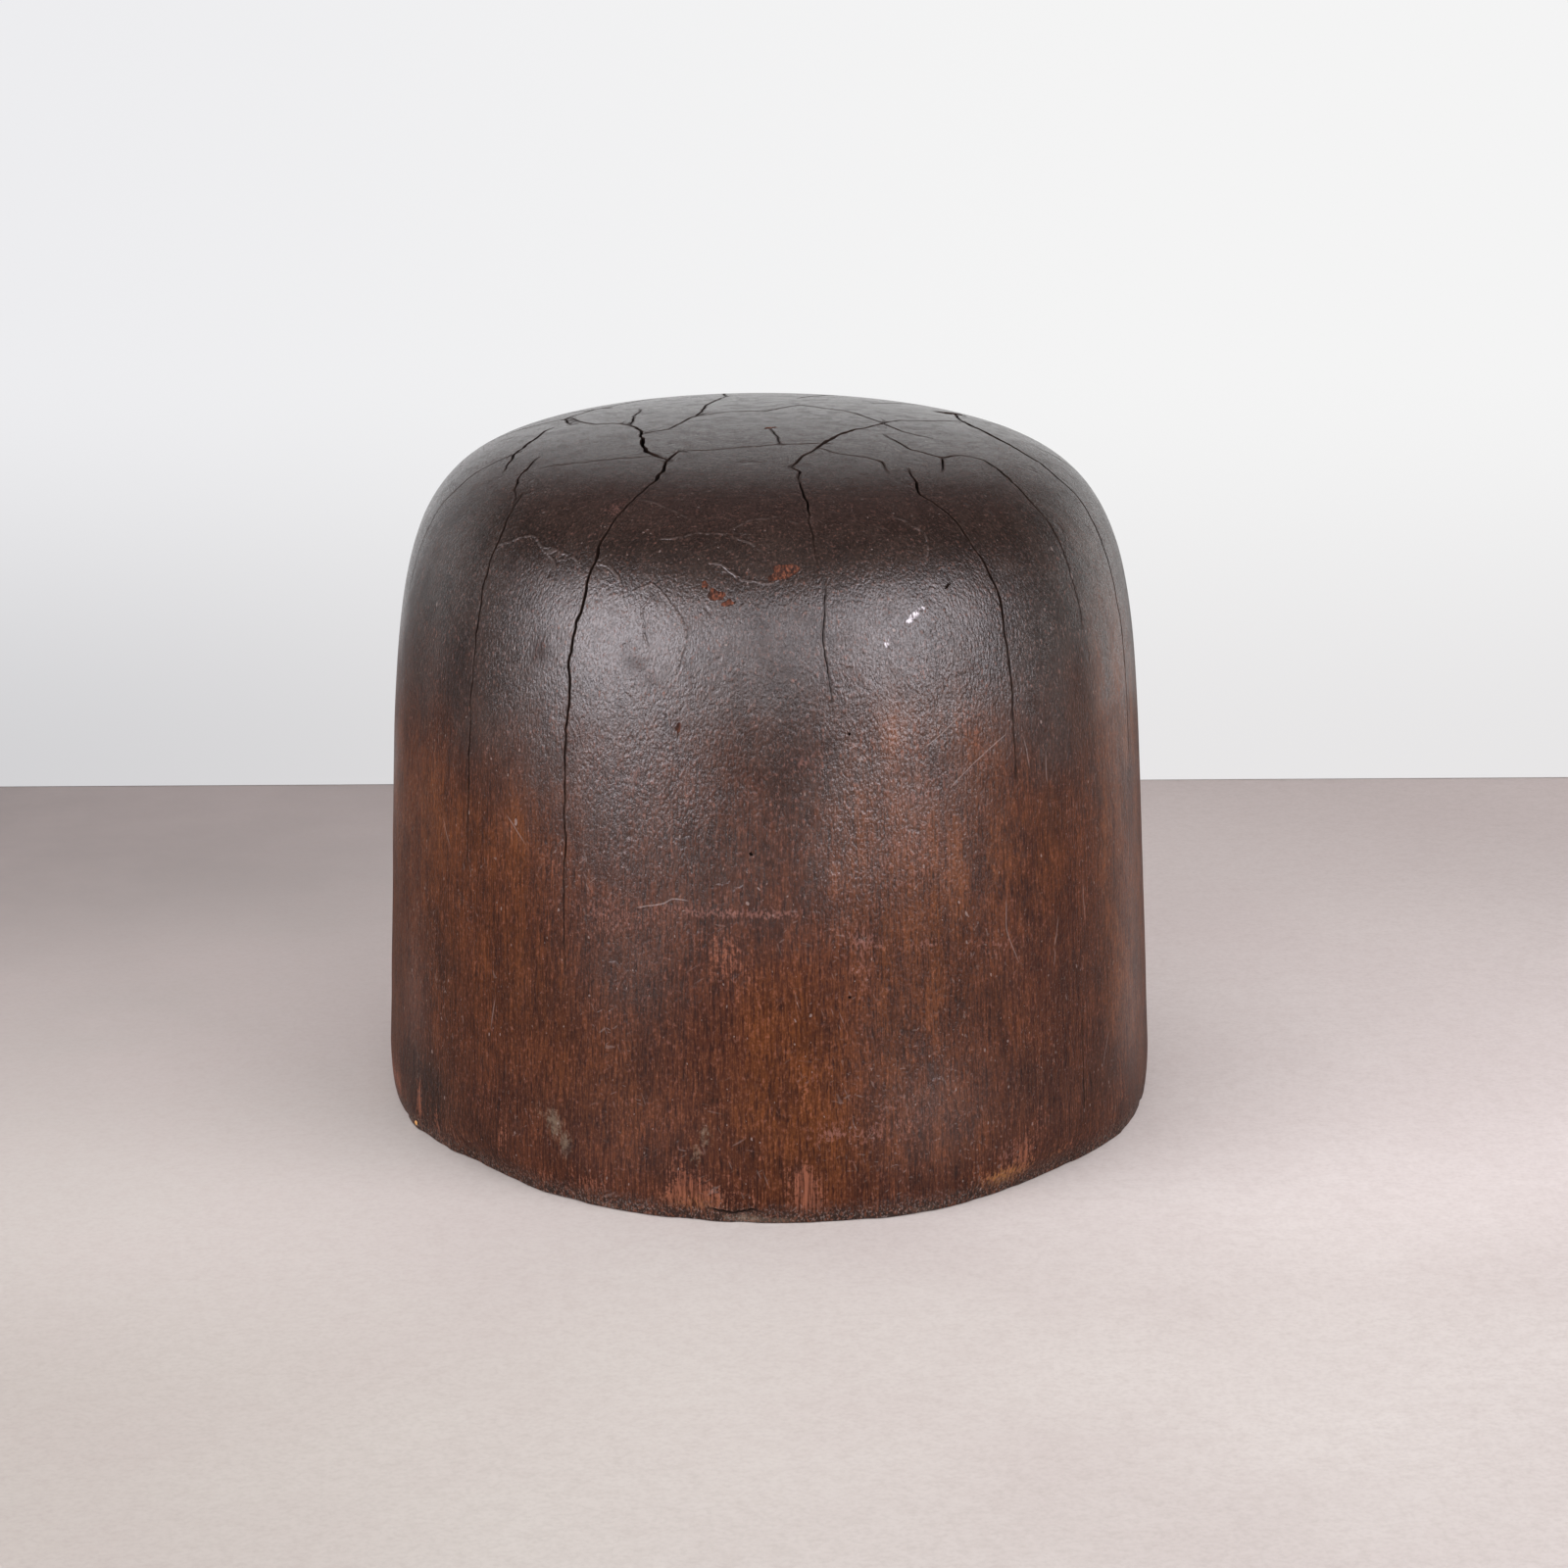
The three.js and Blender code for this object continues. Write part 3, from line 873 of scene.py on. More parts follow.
# Checks in the base: bearing, from and to in mm, width of the mouth, depth.
BASE_CHECKS = (
    (-37, 44, 74, 0.7, 7), (17, 50, 70, 0.6, 6), (60, 50, 68, 0.5, 4), (76, 60, 92, 0.5, 5),
    (107, 46, 78, 0.8, 6), (152, 44, 88, 0.7, 7), (-139, 48, 92, 0.7, 6), (-88, 54, 76, 0.5, 4),
)
wedges = [check_wedge(n) for n in range(len(CHECKS))]
wedges += [base_wedge(*check, seed=400 + 7 * n) for n, check in enumerate(BASE_CHECKS)]
print(len(wedges), "wedges, smallest volume in cubic mm:",
      round(min(volume_of(shape) for shape in wedges) / MM**3, 2))

# %% [markdown]
# ## Chips, dents and holes
# A few flakes of lacquer have come off with a sliver of wood, and show it raw and red. Two knocks on the
# upper right have pressed the lacquer and carry a painted white glint. There are worm holes as fine as pins,
# and a deeper hole where the wide check at the right begins. Each is a shallow cutter: a ragged disc that
# lies on the surface.

# %% Chips, dents, pin holes and screw holes
# Bearing, distance, half width, half height and depth in mm, turn in degrees.
CHIPS = (
    (-4.3, 73.6, 2.7, 1.8, 0.45, 20), (-14.8, 78.3, 1.8, 1.1, 0.4, -25), (-12.9, 79.8, 1.2, 0.7, 0.3, 10),
    (-16.6, 76.4, 0.6, 0.9, 0.3, 10), (-19.8, 104, 0.5, 1.1, 0.25, 0), (3, 8, 1.5, 0.8, 0.3, 30),
    (141, 77, 2.2, 1.3, 0.4, 70), (-150, 72, 1.4, 2.1, 0.4, 10), (97, 112, 1.1, 2.2, 0.35, 0),
    (-128, 140, 0.9, 1.9, 0.3, 0),
)
DENTS = (
    (15.6, 83.3, 1.3, 0.7, 0.25, 35), (14.6, 84.4, 0.7, 0.5, 0.2, 20), (17.0, 82.3, 0.6, 0.35, 0.18, 40),
    (10.6, 88.4, 0.55, 0.5, 0.2, 0), (11.2, 87.4, 0.3, 0.5, 0.15, 0),
)
HOLES = (
    (-9.5, 128, 0.32, 0.45, 0.7, 20), (4, 157, 0.32, 0.3, 0.8, 0), (4.5, 105, 0.3, 0.3, 0.8, 0),
    (22, 78.6, 0.9, 0.3, 0.8, 30), (113, 47.5, 3.3, 2.5, 3, 25), (-135, 43, 1.2, 0.7, 1.5, 10),
    (170, 118, 0.45, 0.45, 3, 0), (-95, 96, 0.4, 0.4, 3, 0),
)
DISC_COLUMNS = 18
LID = 0.5 * MM
SCREW_CIRCLE = 29 * MM
SCREW_CLEARANCE = 2.9 * MM
SCREW_HOLE_HEIGHTS = (29.5 * MM, 5.6 * MM)
DRILL_POINT = 35 * MM


def ragged_disc(bearing, distance, half_width, half_height, depth, turn, seed):
    """A disc that sits in the surface: a ragged outline above it, the same below the surface but
    smaller, and a dished bottom. The outline's radius is 1 plus a few seeded waves round it."""
    centre, up = on_block(bearing, distance * MM), outward(bearing, distance * MM)
    across = unit(np.cross((0.0, 0.0, 1.0) if up[2] < 0.9 else (0.0, 1.0, 0.0), up))
    upright = np.cross(up, across)
    a = np.linspace(0, 2 * math.pi, DISC_COLUMNS, endpoint=False)
    phase = np.random.default_rng(seed).uniform(0, 6.28, 4)
    ragged = 1 + sum(0.13 * np.sin((k + 2) * a + phase[k]) for k in range(4))
    x, y = half_width * MM * np.cos(a) * ragged, half_height * MM * np.sin(a) * ragged
    t = math.radians(turn)
    flat = (x * math.cos(t) - y * math.sin(t))[:, None] * across
    flat = flat + (x * math.sin(t) + y * math.cos(t))[:, None] * upright
    d = depth * MM
    rings = np.stack([centre + flat * 1.05 + up * LID, centre + flat - up * 0.02 * MM,
                      centre + flat * 0.8 - up * d * 0.75])
    return closed_shape(rings, centre + up * LID, centre - up * d)


def screw_hole(n):
    """The clearance of a screw in the wood: a straight bore and the point of the drill."""
    angle = math.pi / 4 + n * math.pi / 2
    a = np.linspace(0, 2 * math.pi, 24, endpoint=False)
    middle = np.array([SCREW_CIRCLE * math.cos(angle), SCREW_CIRCLE * math.sin(angle), 0])
    circle = swung(a, SCREW_CLEARANCE, 0.0)
    rings = np.stack([middle + circle + (0, 0, z) for z in SCREW_HOLE_HEIGHTS])
    return closed_shape(rings, middle + (0, 0, DRILL_POINT), middle + (0, 0, SCREW_HOLE_HEIGHTS[1]))


chips = [ragged_disc(*chip, seed=30 + n) for n, chip in enumerate(CHIPS)]
dents = [ragged_disc(*dent, seed=60 + n) for n, dent in enumerate(DENTS)]
holes = [ragged_disc(*hole, seed=90 + n) for n, hole in enumerate(HOLES)]
holes += [screw_hole(n) for n in range(4)]
print(len(chips), "chips,", len(dents), "dents,", len(holes), "holes; smallest volume in cubic mm:",
      round(min(volume_of(shape) for shape in chips + dents + holes) / MM**3, 3))

# %% [markdown]
# ## Effects that the materials share
# Wood grain is the same thing on a lacquered side, in a chip and on a split wall: upright fibres,
# broader bands of growth, pores that show as short dark dashes, and longer dark lines. Lacquer that
# has been handled for decades has a fine leathery relief, with tiny upright streaks and grit that
# catch the lamps. Dust and nicks leave pale specks, and wiping leaves hair scratches. Sawn across,
# the wood shows growth rings. Each is a group that puts out masks and heights, and each material
# decides what they do there.

# %% Groups: grain, lacquer, specks, scratches and rings
PITH = (0.006, -0.011)
RINGS_PER_METRE = 430


def upright_grain(place):
    fibre = noise(stretched(place, 0.045), 2200, 4, 0.6, 0.3)
    band = noise(stretched(place, 0.09), 230, 4, 0.6, 0.8)
    pores = noise(stretched(place, 0.13), 2700, 2, 0.5)
    lines = noise(stretched(place, 0.018), 1150, 2, 0.5)
    return fibre, band, remap(pores, 0.50, 0.66), remap(lines, 0.54, 0.62)


def handled_lacquer(place):
    leather = noise(stretched(place, 0.8), 1450, 3, 0.66)
    streaks = noise(stretched(place, 0.52), 2100, 2, 0.5)
    grit = noise(stretched(place, 0.7), 2700, 1, 0.5)
    return leather, streaks, grit, noise(place, 34, 5, 0.62)


def pale_specks(place, scale, share):
    """The middles of some of the cells of a Voronoi pattern, drawn out upright."""
    tree = place.tree
    offset = node(tree, "ShaderNodeCombineXYZ", in_X=noise(place, 420, 2) * 0.002)
    shaken = node(tree, "ShaderNodeVectorMath", operation="MULTIPLY_ADD", in_0=place,
                  in_1=(1, 1, 0.55), in_2=offset)
    cells = node(tree, "ShaderNodeTexVoronoi", None, in_Vector=shaken, in_Scale=scale)
    lot = node(tree, "ShaderNodeSeparateColor", None, in_Color=cells["Color"])
    dot = maths("LESS_THAN", cells["Distance"], lot["Green"] * 0.07 + 0.03)
    return [dot * maths("LESS_THAN", lot["Red"], share)]


def hair_scratches(place, scale):
    """The peaks of a noise that is squeezed along a tilted line, in three tilts."""
    total = 0.0
    for tilt, shift in ((-0.9, 0.0), (0.35, 0.3), (1.3, 0.7)):
        turned = node(place.tree, "ShaderNodeMapping", in_Vector=place, in_Location=(shift, 0, shift),
                      in_Rotation=(tilt * 0.6, tilt, 0))
        total = total + remap(noise(stretched(turned, 0.10), scale, 1, 0.4), 0.70, 0.76)
    clusters = remap(noise(place, 60, 3), 0.42, 0.62)
    return [maths("MULTIPLY", total, clusters, clamp=True)]


def growth_rings(place):
    """Rings round a pith that isn't quite in the middle, and thin rays across them. The radius is
    made uneven, counted in rings, and the part after the point is how far a place is into its ring."""
    tree = place.tree
    centred = node(tree, "ShaderNodeVectorMath", operation="SUBTRACT", in_0=place, in_1=(*PITH, 0))
    parts, radius = parts_of(centred), from_axis(centred)
    ring = maths("FRACT", (noise(place, 30, 2, 0.5) * 0.013 + radius) * RINGS_PER_METRE)
    turn = maths("ARCTAN2", parts["Y"], parts["X"])
    spoke = node(tree, "ShaderNodeCombineXYZ", in_X=turn * 60, in_Y=radius * 60)
    return remap(ring, 0.45, 0.95), remap(noise(spoke, 1.6, 2), 0.60, 0.75), radius


GRAIN = shared(upright_grain, ("Fibre", "Band", "Pores", "Lines"))
PATINA = shared(handled_lacquer, ("Leather", "Streaks", "Grit", "Clouds"))
SPECKS = shared(pale_specks, ["Mask"], Scale=300.0, Share=0.3)
STROKES = shared(hair_scratches, ["Mask"], Scale=1500.0)
RINGS = shared(growth_rings, ("Late", "Ray", "Radius"))
print("groups:", [group.name for group in (GRAIN, PATINA, SPECKS, STROKES, RINGS)])

# %% [markdown]
# ## The lacquered wood
# The lacquered wood has the most to tell, so it is built in steps. Its masks are stored on the mesh
# further on, because they belong to places on this block. First come its colours, its masks and its
# patterns. The place's Z is the height above the foot.

# %% Colours, masks and patterns of the lacquered wood
BLACK_BROWN = (0.0365, 0.0268, 0.0222)
RED_BROWN = (0.087, 0.0270, 0.0134)
AMBER = (0.165, 0.0520, 0.0115)
DENSE = (0.026, 0.0130, 0.0100)
DRY_TOP = (0.062, 0.036, 0.030)
SCUFF = (0.200, 0.092, 0.072)
BARE_RED = (0.200, 0.073, 0.040)
OCHRE = (0.32, 0.150, 0.042)
SMEAR = (0.135, 0.105, 0.072)
WORN_EDGE = (0.19, 0.145, 0.105)
# pale dust, and the same colour as a painted highlight on the ridges and beside the checks
DUST_AND_HIGHLIGHT = (0.27, 0.21, 0.185)
# dark dirt; along the checks the same colour is also painted shade
DIRT = (0.018, 0.012, 0.009)
MASKS = ("warm", "dense", "polish", "dull", "rub", "scuff", "raw", "lined", "ochre", "smear", "edge")


def line_from(tree, name, width):
    """1 on a line and 0 beside it. The mesh holds the signed distance to the line in millimetres and
    where the line is on, and both run evenly over the faces, so the line stays sharp."""
    gap = maths("ABSOLUTE", painted(tree, name))
    return remap(gap, width * 0.35, width, 1, 0) * painted(tree, name + "_on")


material, shader, place = new_material("lacquered_wood")
tree = place.tree
height = parts_of(place)["Z"]
grain, patina, rings = use(GRAIN, place), use(PATINA, place), use(RINGS, place)
leather, streaks, grit = patina["Leather"], patina["Streaks"], patina["Grit"]
on = {name: painted(tree, name) for name in MASKS}
sizes = ((430.0, 0.62), (230.0, 0.18), (680.0, 0.45))
specks = most(*(use(SPECKS, place, Scale=size, Share=share)["Mask"] for size, share in sizes))
hairs = use(STROKES, place, Scale=1500.0)["Mask"]
dinges = remap(noise(place, 210, 2, 0.5), 0.66, 0.76)
blotch = noise(stretched(place, 0.6), 120, 5, 0.68)
patchy = remap(noise(place, 800, 2), 0.38, 0.56)
print("patterns of", material.name)

# %% [markdown]
# ## Stain and grain
# The block was stained dark from the top down, and years of hands and of wet felt have thinned the
# stain lower down. So the colour runs from near black at the shoulder to red-brown, with warm windows
# where the wood shows through, and the top is dry and a little greyer, with its growth rings showing.
# Grain, pores and the leathery mottle lie over that.

# %% Stain and grain
level = patina["Clouds"] * 0.06 + height
stain = remap(level, 0.092, 0.142)
shown = stain * -0.65 + 1.0
on_top = remap(height, 0.1345, 0.1395)
fibre = remap(grain["Fibre"], 0.30, 0.70, -1, 1)
pores = grain["Pores"] * shown * 0.80
lines = grain["Lines"] * on["lined"]
window = on["warm"] * (remap(grain["Band"], 0.32, 0.68) * 0.8 + 0.5)
colour = layered(
    blended(stain, RED_BROWN, BLACK_BROWN),
    (maths("MINIMUM", window, 1.0), AMBER),
    (on["dense"], DENSE),
)
streak = maths("MULTIPLY_ADD", fibre * shown, 0.5, 0.5, clamp=True)
colour = blended(streak, layered(colour, (1.0, 0.5)), blended(shown * 0.27, colour, AMBER))
colour = layered(
    colour,
    (remap(blotch, 0.36, 0.62, 0.8, 0), 0.5),
    (remap(height, 0.130, 0.140, 0, 0.5), DRY_TOP),
    (rings["Late"] * on_top * 0.5, 0.45),
    (rings["Ray"] * on_top * 0.12, DUST_AND_HIGHLIGHT),
    (remap(leather, 0.36, 0.62, 0.5, 0), 0.5),
    (lines * 0.65, 0.45),
    (remap(streaks, 0.34, 0.60, 0.5, 0), 0.5),
    (pores, 0.38),
)
print("stain and grain:", len(tree.nodes), "nodes")

# %% [markdown]
# ## What wore the lacquer away
# Scuffs, rubbed places, bare wood and smears. A mask has a soft edge, and adding grain to it before it
# is cut off tears the edge along the fibres. Bare wood has its own light and dark fibres.

# %% Wear
broken = remap(leather, 0.3, 0.7, -0.35, 0.35)
ragged = fibre * 0.30 + broken
torn = remap(streaks, 0.35, 0.65, -0.5, 0.5)
scuff = remap(on["scuff"] + broken + torn, 0.30, 1.30)
rub = remap(on["rub"] + ragged, 0.35, 1.10)
raw = remap(on["raw"] + ragged, 0.30, 0.95)
smear = remap(broken * 0.9 + on["smear"], 0.30, 1.1, 0, 0.65)
in_shade = [share * part for share, part in zip(shade_of(0.35), BARE_RED)]
fresh = blended(remap(grain["Fibre"], 0.40, 0.58), in_shade, BARE_RED)
fresh = blended(on["ochre"] * remap(streaks, 0.36, 0.60), fresh, OCHRE)
colour = layered(
    colour,
    (scuff * 0.5, SCUFF),
    (most(rub * 0.7, raw * 0.85), fresh),
    (smear, SMEAR),
)
print("wear:", len(tree.nodes), "nodes")

# %% [markdown]
# ## Lines, dirt, dust and painted light
# Ridges of crazed lacquer get a painted highlight on top and painted shade on the side away from the light,
# their lee. The checks have dark lips, partly dirt and partly painted shade, with a pale crumb here and
# there beside them that is partly worn lacquer and partly a painted highlight. Dirt gathers at the foot, and
# dust in every scratch, hair and speck.

# %% Lines, dirt, dust and painted light
ridge, scratch = line_from(tree, "ridge", 0.36), line_from(tree, "scratch", 0.19)
# the lee: the side of a ridge away from the light, where shade is painted
painted_lee_shade = remap(painted(tree, "ridge"), 0.12, 0.30) * line_from(tree, "ridge", 0.75)
# a dark line on each check, for dirt and painted shade in the crack
split = line_from(tree, "check", 0.36) * remap(patchy, 0, 1, 0.55, 1)
# pale crumbs beside the checks: worn lacquer and a painted highlight
beside = line_from(tree, "check", 0.8) - line_from(tree, "check", 0.45)
edge_dirt = remap(leather * -0.007 + height, -0.003, 0.0012, 0.85, 0)
colour = layered(
    colour,
    (edge_dirt, DIRT),
    (edge_dirt * remap(streaks, 0.50, 0.60) * 0.42, BARE_RED),
    (edge_dirt * remap(grit, 0.58, 0.64) * 0.4, DUST_AND_HIGHLIGHT),
    (on["edge"] * remap(blotch, 0.42, 0.5), WORN_EDGE),
    # painted shade on the lee of the ridges
    (painted_lee_shade * patchy, 0.5),
    # painted highlight on top of the ridges
    (ridge * patchy * 0.14, DUST_AND_HIGHLIGHT),
    # worn lacquer and a painted highlight beside the checks
    (beside * remap(streaks, 0.50, 0.62) * 0.15, DUST_AND_HIGHLIGHT),
    (scratch * 0.42, DUST_AND_HIGHLIGHT),
    (dinges * 0.4, DENSE),
    (hairs * shown * 0.22, DUST_AND_HIGHLIGHT),
    (specks * 0.50, DUST_AND_HIGHLIGHT),
    # dirt and painted shade along the checks
    (split * 0.85, DIRT),
)
print("lines, dirt and dust:", len(tree.nodes), "nodes")

# %% [markdown]
# ## Gloss and relief
# The lacquer is the shader's coat. It is full where hands have polished it, and weak where the wood
# is bare, beside the checks and in the dull places. The relief is a sum of heights in millimetres.

# %% Gloss and relief
polish = most(on["polish"], remap(level, 0.100, 0.135))
polish = polish * (1 - raw * 0.9) * (1 - on["dull"] * 0.85)
polish = polish * remap(noise(place, 240, 5, 0.65), 0.36, 0.54, 0.75, 1.0)
rough = polish * -0.12 + 0.60 + remap(leather, 0.3, 0.7, -0.05, 0.05) + specks * 0.2
marred = most(line_from(tree, "check", 0.6) * 0.85, painted_lee_shade * 0.6, on["dull"] * 0.6)
even = most(remap(grit, 0.34, 0.58, 0.62, 1.0), on_top * 0.85)
sheen = (polish * 0.90 + 0.10) * (1 - marred) * even

relief = leather * (edge_dirt * 0.35 + 0.105) + streaks * (on["lined"] * 0.20 + 0.12)
relief = relief * remap(height, 0.128, 0.140, 1.0, 0.55)
for mark, rise in (
    (grain["Fibre"] * shown, 0.08), (dinges, -0.08), (pores, -0.04), (lines, -0.06), (hairs, 0.02),
    (ridge * patchy, 0.11), (scratch, -0.05), (split, -0.07), (raw, -0.12), (specks, 0.03),
):
    relief = relief + mark * rise
dress(shader, relief, Base_Color=colour, Roughness=rough, Coat_Weight=sheen,
      Coat_Roughness=0.22, Coat_IOR=1.68, Specular_IOR_Level=0.07)
LACQUERED = material
print(LACQUERED.name, "has", len(LACQUERED.node_tree.nodes), "nodes")

# %% [markdown]
# ## Wood without lacquer
# Inside a check the wood is dark with old dirt. A chip is fresh and red, with its fibres torn. The base is
# end grain: growth rings and rays, dark pores, grime, and a dark rim where stain has soaked in. A knock that
# has only pressed the lacquer gets a painted white glint.

# %% Materials: split, chipped, pressed and end-grain wood
SPLIT_DARK, SPLIT_LIGHT = (0.009, 0.006, 0.005), (0.034, 0.017, 0.010)
CHIP_DARK, CHIP_LIGHT = (0.026, 0.010, 0.007), (0.175, 0.062, 0.034)
# a pressed knock: dark lacquer with a painted white glint
PRESSED_DARK, PAINTED_GLINT = (0.10, 0.08, 0.08), (0.62, 0.60, 0.62)
EARLY_WOOD, LATE_WOOD, RAY = (0.122, 0.061, 0.031), (0.076, 0.037, 0.020), (0.19, 0.105, 0.055)


def split_wood(place):
    fibre = use(GRAIN, place)["Fibre"]
    colour = blended(remap(fibre, 0.3, 0.7), SPLIT_DARK, SPLIT_LIGHT)
    return dict(relief=fibre * 0.15, Base_Color=colour, Roughness=0.85, Specular_IOR_Level=0.2)


def chipped_wood(place):
    patina = use(PATINA, place)
    leather = patina["Leather"]
    fibre = remap(use(GRAIN, place)["Fibre"], 0.35, 0.65)
    colour = blended(fibre, CHIP_DARK, CHIP_LIGHT)
    colour = blended(remap(patina["Streaks"], 0.45, 0.6, 0, 0.65), colour, DIRT)
    return dict(relief=fibre * 0.12 + leather * 0.4, Base_Color=colour,
                Roughness=remap(leather, 0.3, 0.7, 0.55, 0.8), Specular_IOR_Level=0.15)


def pressed_lacquer(place):
    streaks = use(PATINA, place)["Streaks"]
    # the pale streaks are a painted glint
    bright = remap(streaks, 0.40, 0.60)
    return dict(relief=streaks * 0.1, Base_Color=blended(bright, PRESSED_DARK, PAINTED_GLINT),
                Roughness=remap(bright, 0, 1, 0.45, 0.25))


def end_grain(place):
    patina, rings = use(PATINA, place), use(RINGS, place)
    leather, clouds = patina["Leather"], patina["Clouds"]
    colour = layered(
        blended(rings["Late"], EARLY_WOOD, LATE_WOOD),
        (remap(patina["Grit"], 0.50, 0.62, 0, 0.6), 0.5),
        (rings["Ray"] * 0.35, RAY),
        (remap(clouds * 0.02 + rings["Radius"], 0.080, 0.098) * 0.75, BLACK_BROWN),
        (remap(clouds, 0.45, 0.65, 0, 0.55), DIRT),
    )
    relief = rings["Late"] * 0.05 + leather * 0.12 + patina["Streaks"] * 0.05
    return dict(relief=relief, Base_Color=colour, Roughness=remap(leather, 0.3, 0.7, 0.6, 0.85))


WOODS = [finished(recipe) for recipe in (split_wood, chipped_wood, pressed_lacquer, end_grain)]
SPLIT, CHIPPED, PRESSED, END_GRAIN = WOODS
print("wood:", [material.name for material in WOODS])

# %% [markdown]
# ## Cutting
# Every cutter is a closed shape, and the Manifold solver takes it out of the skin and leaves its
# material on the cut faces. Cutters that touch each other may not share a mesh, so they are sorted
# into groups whose boxes are apart, and each group is one Boolean modifier. Then the modifiers are
# applied, because the masks need the final vertices.


# %% Cut the checks, chips and holes
SHARP_ANGLE = math.radians(38)


def apart(shapes):
    """Sorts shapes into groups in which no two bounding boxes overlap."""
    groups = []
    for shape in shapes:
        low, high = shape[0].min(0), shape[0].max(0)
        for group in groups:
            if all((low > h).any() or (high < g).any() for _, g, h in group):
                group.append((shape, low, high))
                break
        else:
            groups.append([(shape, low, high)])
    return [[shape for shape, _, _ in group] for group in groups]


def add_cuts(target, name, shapes, material):
    """Adds one Boolean modifier for each group of shapes. Returns the cutter objects."""
    made = []
    for group in apart(shapes):
        cutter = link(f"{name}_cutter", build_mesh(name, group))
        cutter.data.materials.append(material)
        modifier = target.modifiers.new(name, "BOOLEAN")
        modifier.operation = "DIFFERENCE"
        modifier.solver = "MANIFOLD"
        modifier.material_mode = "TRANSFER"
        modifier.object = cutter
        made.append(cutter)
    return made


block.data.materials.append(LACQUERED)
block.data.materials.append(END_GRAIN)
cutters = []
for name, shapes, finish in (
    ("check", wedges, SPLIT), ("hole", holes, SPLIT), ("chip", chips, CHIPPED), ("dent", dents, PRESSED),
):
    cutters += add_cuts(block, name, shapes, finish)
evaluated = block.evaluated_get(bpy.context.evaluated_depsgraph_get())
solid = bpy.data.meshes.new_from_object(evaluated)
block.modifiers.clear()
block.data = solid
for cutter in cutters:
    bpy.data.objects.remove(cutter)
block.data.shade_smooth()
block.data.set_sharp_from_angle(angle=SHARP_ANGLE)
print(len(cutters), "cuts leave", len(solid.polygons), "faces of", [m.name for m in solid.materials])

# %% [markdown]
# ## Places on the block
# The masks come next. Warm places have thin stain and dense ones thick stain. Polish and dull are
# about gloss. Rubs and raw places show bare wood, ochre ones its yellow kind, and lined ones long dark
# lines of grain. Scuffs and smears lie on the lacquer, and edges are the pale worn rim of the foot. The
# front follows the real block. The sides and the back, which nobody has photographed, get patches of
# the same kind from seeded numbers.

# %% Patches of wear
# Bearing in degrees, height in mm, reach in degrees, reach in mm, strength.
WARM = (
    (-68, 74, 6, 12, 0.4), (-58, 71, 8, 10, 0.55), (-45, 72, 6, 10, 0.75), (-57, 52, 9, 13, 0.45),
    (-44, 50, 8, 13, 0.3), (-58, 31, 9, 10, 0.3), (-42, 36, 8, 12, 0.3), (-69, 54, 6, 20, 0.5),
    (-30, 25, 10, 12, 0.35), (15, 98, 9, 9, 0.35), (9, 78, 6, 14, 0.5), (24, 73, 9, 14, 0.6),
    (15, 56, 9, 14, 0.6), (-6, 42, 6, 10, 0.6), (-5, 24, 8, 12, 0.65), (9, 36, 9, 14, 0.5),
    (3, 16, 8, 9, 0.5), (27, 36, 8, 12, 0.3), (56, 72, 8, 32, 0.6), (38, 70, 7, 18, 0.3),
    (22, 14, 8, 9, 0.3), (66, 60, 8, 42, 0.9), (12, 70, 10, 14, 0.35), (60, 62, 8, 36, 1.0),
    (10, 97, 6, 6, 0.35), (58, 30, 7, 12, 0.6), (6, 80, 5, 10, 0.5), (24, 93, 5, 7, 0.35),
    (-4, 9, 5, 6, 0.4),
)
DENSE_PLACES = (
    (-62, 41, 4, 7, 0.5), (-60, 101, 9, 12, 0.8), (-18, 80, 13, 16, 0.35), (2, 99, 2.5, 9, 0.35),
    (8, 95, 1.8, 11, 0.25), (4, 84, 1.6, 12, 0.25), (47, 15, 7, 8, 0.5), (-67, 10, 9, 10, 0.65),
    (40, 97, 6, 12, 0.35), (-28, 46, 7, 12, 0.3), (34, 22, 6, 10, 0.3), (43, 40, 5, 8, 0.35),
    (-67, 12, 10, 9, 0.6), (-50, 8, 6, 5, 0.4), (-43, 42, 6, 9, 0.3), (-41, 20, 7, 8, 0.3),
    (-42.5, 109.7, 1.4, 2.5, 0.7), (-26.5, 110.3, 1.8, 1.6, 0.6), (-24, 107.4, 1.2, 1.2, 0.6),
    (-27.8, 113.5, 0.8, 1.4, 0.6), (-80, 36, 8, 26, 0.3), (-53, 80, 5, 14, 0.25), (-73.5, 136, 3, 1, 0.7),
    (-69.5, 137.7, 3, 1, 0.6), (-34, 100, 3, 2, 0.4), (5.5, 89, 0.7, 1.6, 0.7),
)
POLISH = (
    (-22, 82, 15, 24, 0.95), (-10, 70, 10, 12, 0.35), (12, 92, 14, 15, 0.6), (17, 74, 13, 18, 0.5),
    (2, 76, 8, 12, 0.4), (-46, 92, 9, 16, 0.4), (52, 92, 12, 18, 0.5), (61, 58, 9, 36, 0.55),
    (-26, 50, 8, 12, 0.55), (16, 21, 9, 12, 0.7), (4, 82, 7, 14, 0.7), (-24, 94, 7, 8, 0.5),
    (-6, 60, 10, 8, 0.2), (18, 43, 20, 15, 0.14), (-14, 20, 12, 12, 0.14), (33, 14, 9, 12, 0.12),
    (-34, 84, 7, 18, 0.3), (-27, 16, 9, 17, 0.2), (9, 40, 6, 30, 0.14), (60, 22, 7, 14, 0.3),
    (-71, 30, 5, 16, 0.25), (3, 95, 4, 8, 0.2),
)
